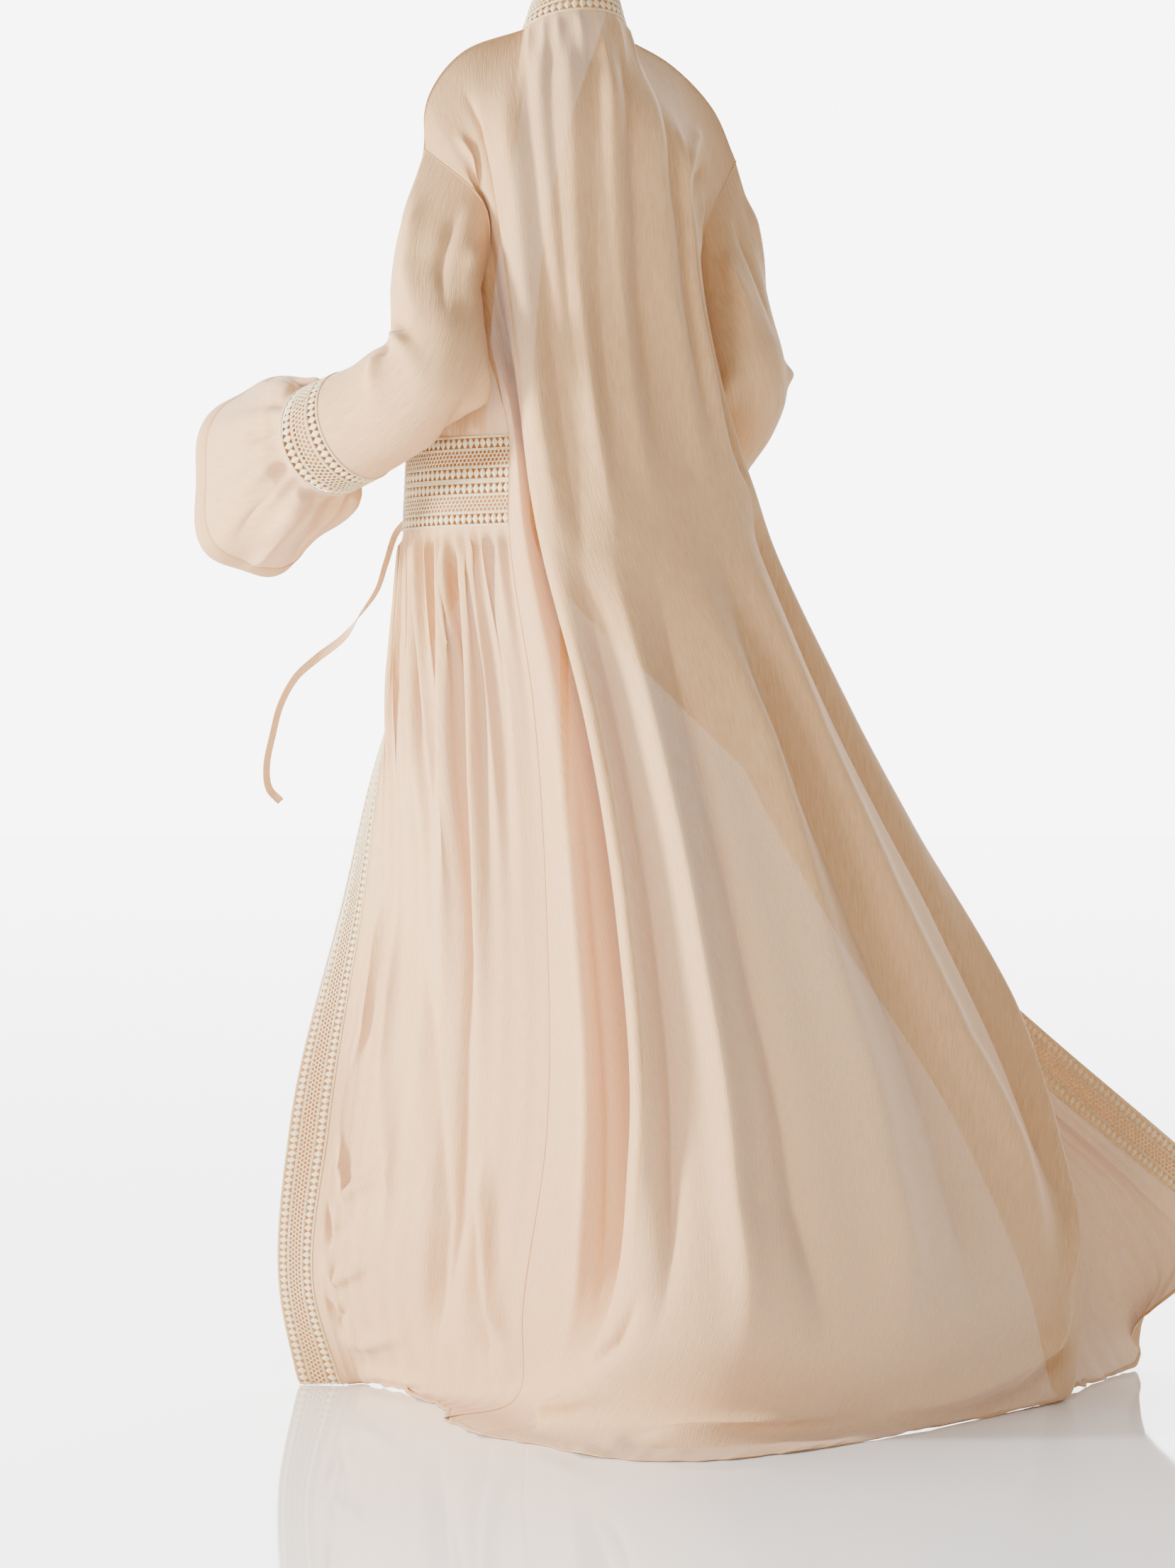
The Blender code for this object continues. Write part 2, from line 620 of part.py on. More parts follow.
def arm_frames(side, loop):
    """Middle, direction and out direction of each ring of a sleeve, its cuff and its bell."""
    table = SLEEVE_LEFT if side == "left" else SLEEVE_RIGHT
    middles = [loop.mean(axis=0)] + [np.array(row[:3]) for row in table]
    middles.append(np.array(CUFF_END[side][:3]))
    middles.append(np.array(BELL_HEM[side][:3]))
    out = np.array((1.0 if side == "left" else -1.0, 0.0, ARM_OUT_TILT))
    alongs = np.gradient(np.array(middles), axis=0)
    alongs /= np.linalg.norm(alongs, axis=1, keepdims=True)
    for _ in range(BEND_PASSES):
        alongs[1:-3] = (alongs[:-4] + 2 * alongs[1:-3] + alongs[2:-2]) / 4
    frames = []
    for middle, along in zip(middles, alongs):
        along = along / np.linalg.norm(along)
        out = out - along * np.dot(out, along)
        out = out / np.linalg.norm(out)
        frames.append((middle, along, out.copy()))
    return frames


def sleeve_grids(side, loop):
    """Rings of the sleeve, of the cuff lace and of the bell."""
    table = SLEEVE_LEFT if side == "left" else SLEEVE_RIGHT
    turn = 1 if side == "left" else -1
    frames = arm_frames(side, loop)
    count = len(loop)
    rings = [loop]
    for row, (middle, along, out) in zip(table, frames[1:]):
        ring = np.array(ring_points(middle, along * turn, out, row[3], row[4], count))
        kept = row[5]
        moved = loop - loop.mean(axis=0) + middle
        rings.append(ring * (1 - kept) + moved * kept)
    sleeve = np.array(rings)
    end = CUFF_END[side]
    middle, along, out = frames[-2]
    cuff_end = np.array(ring_points(middle, along * turn, out, end[3], end[4], count))
    cuff = np.array([sleeve[-1], (sleeve[-1] + cuff_end) / 2, cuff_end])
    hem = BELL_HEM[side]
    hem_middle, hem_along, hem_out = frames[-1]
    bell = []
    for share in np.linspace(0, 1, BELL_RINGS + 1):
        swell = share ** BELL_SWELL_POWER
        half_width = end[3] + (hem[3] - end[3]) * swell
        half_height = end[4] + (hem[4] - end[4]) * swell
        centre = middle + (hem_middle - middle) * share
        lean = along * (1 - share) + hem_along * share
        lean = lean / np.linalg.norm(lean) * turn
        ring = np.array(ring_points(centre, lean, out, half_width, half_height, BELL_COLUMNS))
        if share == 0:
            around = np.arange(BELL_COLUMNS) * count / BELL_COLUMNS
            low = np.floor(around).astype(int)
            part = (around - low)[:, None]
            ring = cuff_end[low % count] * (1 - part) + cuff_end[(low + 1) % count] * part
        out_ward = ring - centre
        out_ward /= np.linalg.norm(out_ward, axis=1, keepdims=True)
        columns = np.arange(BELL_COLUMNS)
        small = np.cos(math.pi * columns) * BELL_GATHER_DEPTH
        small = small * min(share / BELL_GATHER_START, 1.0) * (1 - share)
        wave = np.cos(2 * math.pi * BELL_WAVES * columns / BELL_COLUMNS + BELL_WAVE_TURN)
        large = wave * BELL_WAVE_DEPTH * share
        bell.append(ring + out_ward * (small + large)[:, None])
    return sleeve, cuff, np.array(bell)


def add_tie(side, route, material):
    """A flat ribbon along its route, with square ends."""
    route = np.array(route)
    places = np.linspace(0, len(route) - 1, 3 * len(route) // 2)
    path = through(np.arange(len(route)), route, places)
    middles = path[:, :3]
    along = np.gradient(middles, axis=0)
    along /= np.linalg.norm(along, axis=1, keepdims=True)
    points = []
    for middle, forward, degrees in zip(middles, along, path[:, 3]):
        face = np.array(TIE_FACE[side])
        face -= forward * np.dot(face, forward)
        face /= np.linalg.norm(face)
        flat = np.cross(forward, face)
        turn = math.radians(degrees)
        across = flat * math.cos(turn) + face * math.sin(turn)
        through_cloth = np.cross(across, forward)
        for wide, deep in ((1, 1), (1, -1), (-1, -1), (-1, 1)):
            points.append(middle + across * wide * TIE_WIDTH / 2 + through_cloth * deep * TIE_WALL / 2)
    faces = [(0, 1, 2), (0, 2, 3)]
    for section in range(len(middles) - 1):
        base = 4 * section
        for corner in range(4):
            a = base + corner
            b = base + (corner + 1) % 4
            faces.append((a, a + 4, b + 4))
            faces.append((a, b + 4, b))
    end = 4 * (len(middles) - 1)
    faces.append((end, end + 2, end + 1))
    faces.append((end, end + 3, end + 2))
    return add_object("tie_" + side, points, faces, material)


def main():
    for made in list(bpy.data.objects):
        bpy.data.objects.remove(made, do_unlink=True)
    crepe = add_material("crepe")
    lace = add_material("lace")
    ribbon = add_material("ribbon")
    back = back_grid()
    panels = [Panel("back", back, 1, crepe)]
    for side, sign, seam_column in (("left", -1, 0), ("right", 1, -1)):
        waist_row = ROW_OF["waist_top"]
        skirt_row = ROW_OF["waist_foot"]
        bodice, edges = front_grid(side, back, np.linspace(0, 1, SHOULDER_COLUMNS + 1))
        waist, _ = front_grid(side, back, np.linspace(0, 1, WAIST_COLUMNS + 1))
        skirt, _ = front_grid(side, back, np.linspace(0, 1, SKIRT_COLUMNS + 1))
        loop = armhole(back, bodice, seam_column)
        panels.append(Panel("front_" + side, bodice[:waist_row + 1], sign, crepe))
        panels.append(Panel("waist_lace_" + side, waist[waist_row:skirt_row + 1], sign, lace,
                            wall=LACE_WALL, gaps=band_gaps(True)))
        panels.append(Panel("skirt_" + side, gathers(skirt[skirt_row:], sign), sign, crepe))
        edge = np.stack([edges[:, 0], edges.mean(axis=1), edges[:, 1]], axis=1)
        panels.append(Panel("edge_lace_" + side, edge, sign, lace, wall=LACE_WALL, gaps=band_gaps(False),
                            first_trims=(SEAM_TRIM, LACE_EDGE_TRIM)))
        sleeve, cuff, bell = sleeve_grids(side, loop)
        panels.append(Panel("sleeve_" + side, sleeve, -sign, crepe, around=True,
                            first_trims=(ARMHOLE_TRIM, SEAM_TRIM)))
        half = len(loop) // 2
        wrapped = np.concatenate([cuff, cuff[:, :1]], axis=1)
        for part, columns in (("under", slice(0, half + 1)), ("over", slice(half, 2 * half + 1))):
            panels.append(Panel(f"cuff_lace_{side}_{part}", wrapped[:, columns], -sign, lace,
                                wall=LACE_WALL, gaps=band_gaps(True)))
        panels.append(Panel("bell_" + side, bell, -sign, crepe, around=True))
    panels.append(Panel("collar_lace", collar_grid(), -1, lace, wall=LACE_WALL, gaps=band_gaps(True)))
    share_normals(panels)
    for panel in panels:
        for part in panel.parts():
            add_wall(part)
    add_tie("left", TIE_LEFT, ribbon)
    add_tie("right", TIE_RIGHT, ribbon)


main()
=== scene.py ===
"""Looks of the open abaya in crinkled crepe with crochet lace trims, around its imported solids.

Metres, +Z up. The origin is the middle of the neck at the height of the nape seam, +X is the wearer's left
and the front faces -Y. Sections are measured on two axes turned from the wearer's: across, to the right as
seen from behind, and toward, backwards. The tables repeat those of the solids.
"""

import math
import random

import bmesh
import bpy
import numpy as np
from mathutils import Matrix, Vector


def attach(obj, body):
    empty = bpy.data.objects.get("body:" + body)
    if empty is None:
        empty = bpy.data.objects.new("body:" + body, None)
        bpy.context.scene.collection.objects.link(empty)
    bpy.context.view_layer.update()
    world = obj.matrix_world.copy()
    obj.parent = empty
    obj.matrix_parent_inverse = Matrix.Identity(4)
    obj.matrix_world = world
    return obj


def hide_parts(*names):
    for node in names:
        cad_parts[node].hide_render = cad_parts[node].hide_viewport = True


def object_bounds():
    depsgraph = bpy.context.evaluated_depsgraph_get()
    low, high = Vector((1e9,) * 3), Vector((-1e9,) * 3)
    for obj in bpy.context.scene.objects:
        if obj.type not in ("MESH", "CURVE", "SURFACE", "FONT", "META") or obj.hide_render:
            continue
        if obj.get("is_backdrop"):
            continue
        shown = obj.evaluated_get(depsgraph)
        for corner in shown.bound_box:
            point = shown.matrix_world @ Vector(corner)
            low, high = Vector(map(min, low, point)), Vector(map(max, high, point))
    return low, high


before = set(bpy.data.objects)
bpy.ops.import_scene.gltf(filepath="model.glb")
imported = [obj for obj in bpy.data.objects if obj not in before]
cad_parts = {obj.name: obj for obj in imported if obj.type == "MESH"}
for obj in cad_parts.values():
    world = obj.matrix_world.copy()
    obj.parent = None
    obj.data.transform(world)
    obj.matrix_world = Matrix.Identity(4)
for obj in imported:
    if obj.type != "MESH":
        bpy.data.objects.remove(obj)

bl_info = {
    "name": "Lace trimmed abaya",
    "version": (1, 0, 0),
    "blender": (4, 5, 0),
    "location": "3D View > Sidebar > Abaya",
    "description": "Builds the cloth, lace and ties of an open abaya",
    "category": "Object",
}

ROOM_LIGHT = 0.3
BACKDROP_LIGHT = 7.5
BACKDROP_EDGES = (0.15, 0.80)
FLOOR = -1.56
FLOOR_RADIUS = 60.0
FLOOR_SIDES = 64
FLOOR_UNDER = 0.0004
TURN = math.radians(25.0)
# Name, place, aim, size across and watts
LAMPS = (
    ("left_softbox", (3.4, -0.5, -0.35), (0.0, 0.0, -0.9), 0.7, 400.0),
    ("low_softbox", (2.9, 2.1, -1.15), (0.1, 0.0, -1.4), 1.1, 80.0),
    ("top_softbox", (2.0, 4.4, 1.6), (2.0, 4.3, -1.5), 2.4, 110.0),
)
CAMERA_PLACE = (2.183, 4.720, -0.854)
CAMERA_LENS = 107.2

HAND = {"left": 1, "right": -1}
LACE_WIDTH = 0.050
NECK_HALF_WIDTH = 0.060
NECK_DEPTH = 0.055
NECK_RISE = 0.018
COLLAR_TOP_HALF_WIDTH = 0.047
COLLAR_TOP_DEPTH = 0.046
COLLAR_TOP_SIDE = 0.022
COLLAR_TOP_BACK = 0.048
SHOULDER_SPAN = 9
NECK_SPAN = 8
BACK_SPAN = 2 * SHOULDER_SPAN + NECK_SPAN
SEAM_COLUMN = {"left": 0.0, "right": float(BACK_SPAN)}

# Levels down the garment: name, height, share of the shoulder line's own height kept, path
LEVELS = (
    ("shoulder", 0.0, 1.00, 0.00),
    ("yoke", -0.33, 0.66, 0.11),
    ("blades", -0.33, 0.33, 0.22),
    ("underarm", -0.33, 0.0, 0.33),
    ("waist_top", -0.47, 0.0, 0.47),
    ("waist_foot", -0.57, 0.0, 0.57),
    ("hip", -0.77, 0.0, 0.77),
    ("thigh", -1.00, 0.0, 1.00),
    ("knee", -1.25, 0.0, 1.26),
    ("shin", -1.45, 0.0, 1.46),
    ("floor_break", -1.54, 0.0, 1.56),
    ("hem", -1.5585, 0.0, 1.70),
)
LEVEL_PATH = [level[3] for level in LEVELS]
PATH_OF = {level[0]: level[3] for level in LEVELS}
# The armhole's steps, as the solids have them
ARMHOLE_STEPS = 8
ARMHOLE_PATH = np.interp(range(ARMHOLE_STEPS + 1), (0, 3, 6, 8), LEVEL_PATH[:4])

# Shoulder line from the drop of the shoulder to the side of the neck: X, Y, Z
SHOULDER = {
    "left": (
        (0.173, -0.014, -0.155),
        (0.171, -0.009, -0.098),
        (0.132, -0.002, -0.047),
        (0.060, 0.0, -0.018),
    ),
    "right": (
        (-0.200, 0.006, -0.150),
        (-0.172, 0.003, -0.092),
        (-0.122, 0.0, -0.046),
        (-0.060, 0.0, -0.018),
    ),
}

# Back sections: across and toward of the left seam, strip beside it, deep valley, big ridge, hollow,
# middle, swell, turn at the right, return behind it, and right seam
BACK_COLUMNS_AT = (0, 2, 4.5, 7, 10, 13, 16, 20, 23, 26)
BACK_SECTIONS = {
    "yoke": (
        (-0.100, 0.092), (-0.112, 0.085), (-0.108, 0.080), (-0.098, 0.090), (-0.040, 0.108),
        (0.044, 0.098), (0.095, 0.055), (0.126, 0.015), (0.145, -0.030), (0.156, -0.046),
    ),
    "blades": (
        (-0.092, 0.085), (-0.097, 0.082), (-0.090, 0.085), (-0.083, 0.108), (-0.025, 0.125),
        (0.050, 0.108), (0.108, 0.062), (0.138, 0.025), (0.135, -0.014), (0.134, -0.042),
    ),
    "underarm": (
        (-0.105, 0.060), (-0.092, 0.072), (-0.078, 0.070), (-0.071, 0.120), (-0.012, 0.135),
        (0.053, 0.113), (0.112, 0.075), (0.150, 0.030), (0.131, -0.008), (0.1175, -0.044),
    ),
    "waist_top": (
        (-0.070, 0.080), (-0.064, 0.098), (-0.047, 0.075), (-0.055, 0.145), (0.010, 0.155),
        (0.065, 0.130), (0.125, 0.088), (0.184, 0.032), (0.148, 0.000), (0.113, -0.0305),
    ),
    "waist_foot": (
        (-0.070, 0.080), (-0.054, 0.102), (-0.030, 0.070), (-0.038, 0.155), (0.030, 0.165),
        (0.090, 0.140), (0.155, 0.090), (0.218, 0.015), (0.168, -0.022), (0.115, -0.032),
    ),
    "hip": (
        (-0.043, 0.080), (-0.015, 0.106), (0.025, 0.060), (0.012, 0.175), (0.075, 0.185),
        (0.150, 0.155), (0.225, 0.085), (0.313, -0.035), (0.255, -0.085), (0.165, -0.075),
    ),
    "thigh": (
        (-0.029, 0.050), (0.010, 0.090), (0.062, 0.045), (0.048, 0.190), (0.115, 0.205),
        (0.205, 0.180), (0.315, 0.090), (0.438, -0.095), (0.388, -0.160), (0.287, -0.130),
    ),
    "knee": (
        (-0.030, 0.010), (0.018, 0.060), (0.076, 0.035), (0.061, 0.195), (0.135, 0.220),
        (0.245, 0.200), (0.390, 0.090), (0.541, -0.130), (0.515, -0.205), (0.445, -0.185),
    ),
    "shin": (
        (-0.057, -0.050), (-0.005, 0.005), (0.045, 0.035), (0.030, 0.160), (0.120, 0.225),
        (0.235, 0.215), (0.390, 0.110), (0.574, -0.135), (0.575, -0.200), (0.530, -0.205),
    ),
    "floor_break": (
        (-0.060, -0.075), (-0.035, -0.015), (-0.012, 0.060), (-0.025, 0.110), (0.080, 0.190),
        (0.190, 0.200), (0.360, 0.100), (0.555, -0.115), (0.575, -0.165), (0.550, -0.200),
    ),
    "hem": (
        (-0.140, 0.010), (-0.125, 0.075), (-0.085, 0.155), (-0.035, 0.220), (0.050, 0.320),
        (0.150, 0.330), (0.300, 0.205), (0.500, -0.070), (0.545, -0.140), (0.562, -0.185),
    ),
}

# Front sections: across and toward of the points from the side seam to the lace's free edge. The right
# front lifts where it is held out, so some of its points have a height that isn't the level's own
FRONT_LEFT = {
    "yoke": ((-0.178, 0.000), (-0.158, -0.032), (-0.127, -0.062), (-0.063, -0.064)),
    "blades": ((-0.170, -0.012), (-0.167, -0.040), (-0.148, -0.080), (-0.083, -0.111)),
    "underarm": ((-0.105, 0.060), (-0.143, 0.001), (-0.159, -0.080), (-0.095, -0.138)),
    "waist_top": ((-0.070, 0.080), (-0.150, 0.022), (-0.184, -0.060), (-0.103, -0.150)),
    "waist_foot": ((-0.070, 0.080), (-0.153, 0.020), (-0.190, -0.062), (-0.106, -0.158)),
    "hip": ((-0.043, 0.080), (-0.140, 0.030), (-0.206, -0.070), (-0.208, -0.190)),
    "thigh": ((-0.029, 0.050), (-0.125, -0.005), (-0.205, -0.122), (-0.270, -0.222)),
    "knee": ((-0.030, 0.010), (-0.135, -0.080), (-0.238, -0.215), (-0.331, -0.250)),
    "shin": ((-0.057, -0.050), (-0.150, -0.145), (-0.258, -0.228), (-0.345, -0.280)),
    "floor_break": ((-0.060, -0.075), (-0.145, -0.165), (-0.240, -0.275), (-0.328, -0.288)),
    "hem": ((-0.140, 0.010), (-0.160, -0.120), (-0.238, -0.290), (-0.318, -0.285)),
}
FRONT_RIGHT = {
    "yoke": ((0.142, -0.121), (0.096, -0.138), (0.060, -0.144), (0.031, -0.134), (-0.009, -0.090)),
    "blades": ((0.128, -0.115), (0.093, -0.143), (0.058, -0.160), (0.020, -0.163), (-0.032, -0.134)),
    "underarm": ((0.1175, -0.044), (0.097, -0.100), (0.058, -0.148), (0.028, -0.166), (-0.043, -0.163)),
    "waist_top": ((0.113, -0.0305), (0.092, -0.088), (0.053, -0.138), (0.024, -0.160), (-0.048, -0.176)),
    "waist_foot": ((0.115, -0.032), (0.097, -0.092), (0.060, -0.142), (0.030, -0.166), (-0.045, -0.186)),
    "hip": (
        (0.165, -0.075), (0.178, -0.122, -0.772), (0.180, -0.160, -0.774),
        (0.165, -0.195, -0.772), (0.115, -0.245, -0.750),
    ),
    "thigh": (
        (0.287, -0.130), (0.306, -0.165, -1.002), (0.316, -0.197, -1.003),
        (0.320, -0.230, -1.002), (0.352, -0.280, -0.966),
    ),
    "knee": (
        (0.445, -0.185), (0.478, -0.230, -1.245), (0.502, -0.268, -1.238),
        (0.518, -0.295, -1.215), (0.555, -0.292, -1.146),
    ),
    "shin": (
        (0.530, -0.205), (0.580, -0.290, -1.428), (0.622, -0.330, -1.400),
        (0.658, -0.318, -1.355), (0.706, -0.280, -1.276),
    ),
    "floor_break": (
        (0.550, -0.200), (0.622, -0.340, -1.515), (0.666, -0.395, -1.485),
        (0.700, -0.350, -1.425), (0.775, -0.272, -1.338),
    ),
    "hem": (
        (0.562, -0.185), (0.650, -0.385, -1.5585), (0.684, -0.440, -1.546),
        (0.672, -0.398, -1.506), (0.803, -0.268, -1.368),
    ),
}
FRONT = {"left": FRONT_LEFT, "right": FRONT_RIGHT}
FRONT_AT = {"left": (0.0, 0.33, 0.70, 1.0), "right": (0.0, 0.25, 0.5, 0.75, 1.0)}

# Sleeve rings: X, Y, Z of the middle, half width, half height, share of the armhole's own shape kept
SLEEVE = {
    "left": (
        (0.166, 0.004, -0.285, 0.056, 0.062, 0.60),
        (0.172, 0.014, -0.318, 0.053, 0.060, 0.25),
        (0.177, 0.030, -0.346, 0.051, 0.058, 0.08),
        (0.183, 0.047, -0.376, 0.053, 0.062, 0.0),
        (0.192, 0.044, -0.406, 0.058, 0.066, 0.0),
        (0.207, 0.018, -0.428, 0.060, 0.065, 0.0),
        (0.224, -0.014, -0.446, 0.059, 0.062, 0.0),
        (0.240, -0.046, -0.459, 0.061, 0.063, 0.0),
    ),
    "right": (
        (-0.178, 0.006, -0.285, 0.054, 0.062, 0.60),
        (-0.184, 0.012, -0.318, 0.051, 0.060, 0.25),
        (-0.187, 0.022, -0.346, 0.049, 0.058, 0.08),
        (-0.190, 0.032, -0.376, 0.050, 0.060, 0.0),
        (-0.193, 0.024, -0.406, 0.054, 0.064, 0.0),
        (-0.195, -0.004, -0.428, 0.056, 0.064, 0.0),
        (-0.197, -0.036, -0.446, 0.056, 0.062, 0.0),
        (-0.199, -0.068, -0.458, 0.058, 0.063, 0.0),
    ),
}
# The cuff lace's end and the bell's hem: X, Y, Z of the middle, half width, half height
CUFF_END = {
    "left": (0.259, -0.088, -0.473, 0.062, 0.064),
    "right": (-0.205, -0.114, -0.472, 0.060, 0.064),
}
BELL_HEM = {
    "left": (0.283, -0.228, -0.507, 0.086, 0.124),
    "right": (-0.243, -0.268, -0.514, 0.096, 0.116),
}
BELL_COLUMNS = 32
BELL_GATHER_DEPTH = 0.0035
BELL_GATHER_START = 0.2
BELL_GATHER_RISE = 0.4
BELL_GATHER_FADE = 1.5
BELL_STRENGTH = (0.4, 1.5)
BELL_SEED = {"left": 41, "right": 42}
BELL_WAVES = 5
BELL_WAVE_DEPTH = 0.006
BELL_WAVE_TURN = 0.7
BELL_SWELL_POWER = 0.65
ARM_OUT_TILT = 0.3
BEND_PASSES = 3

# Skirt gathers: the wide ones have the unevenness of the solids, and the fine ones soon die out
SKIRT_COLUMNS = 24
GATHER_DEPTH = 0.36
GATHER_START = 0.12
GATHER_SOFTEN = 0.88
GATHER_SOFTEN_BY = 0.45
GATHER_STRENGTH = (0.45, 1.25)
GATHER_SEED = 7
FINE_GATHERS = 36
FINE_DEPTH = 0.50
FINE_START = 0.02
FINE_LENGTH = 0.16
FINE_FADE = 1.4
FINE_SHIFT = 0.35
FINE_STRENGTH = (0.3, 1.0)
FINE_SEED = {"left": 31, "right": 32}

TIE_WIDTH = 0.0095
TIE_HALF_THICKNESS = 0.0007
TIE_STEPS = 12
# Half of a tie's section: shares of its half width and half thickness
TIE_SECTION = ((-1.0, 0.0), (-0.96, 0.9), (-0.75, 0.55), (0.0, 0.45), (0.75, 0.55), (0.96, 0.9))
# Direction that each tie's flat faces where it is sewn on, and its route: X, Y, Z, turn in degrees
TIE_FACE = {"left": (0.35, -0.93, 0.0), "right": (-0.6, -0.8, 0.0)}
TIE_ROUTE = {
    "left": (
        (0.0662, -0.1689, -0.520, 0), (0.0752, -0.1654, -0.521, 0), (0.0848, -0.1632, -0.5235, 0),
        (0.0945, -0.1670, -0.5295, 0), (0.107, -0.1775, -0.5415, 0), (0.128, -0.199, -0.565, 5),
        (0.141, -0.201, -0.600, 10), (0.152, -0.203, -0.633, 20), (0.172, -0.208, -0.663, 50),
        (0.190, -0.213, -0.688, 110), (0.218, -0.222, -0.711, 165), (0.241, -0.229, -0.733, 180),
        (0.257, -0.235, -0.764, 180), (0.266, -0.238, -0.800, 180), (0.272, -0.240, -0.832, 176),
        (0.270, -0.239, -0.858, 170), (0.257, -0.235, -0.874, 165),
    ),
    "right": (
        (-0.0718, -0.1537, -0.512, 0), (-0.0722, -0.1552, -0.530, 0), (-0.0738, -0.1588, -0.550, 0),
        (-0.0760, -0.1660, -0.575, 0), (-0.0780, -0.1805, -0.605, 0), (-0.0800, -0.1960, -0.640, 3),
        (-0.0830, -0.2040, -0.690, 10), (-0.0860, -0.2090, -0.750, 20), (-0.0880, -0.2130, -0.810, 28),
        (-0.0900, -0.2160, -0.870, 32), (-0.0910, -0.2180, -0.905, 34),
    ),
}

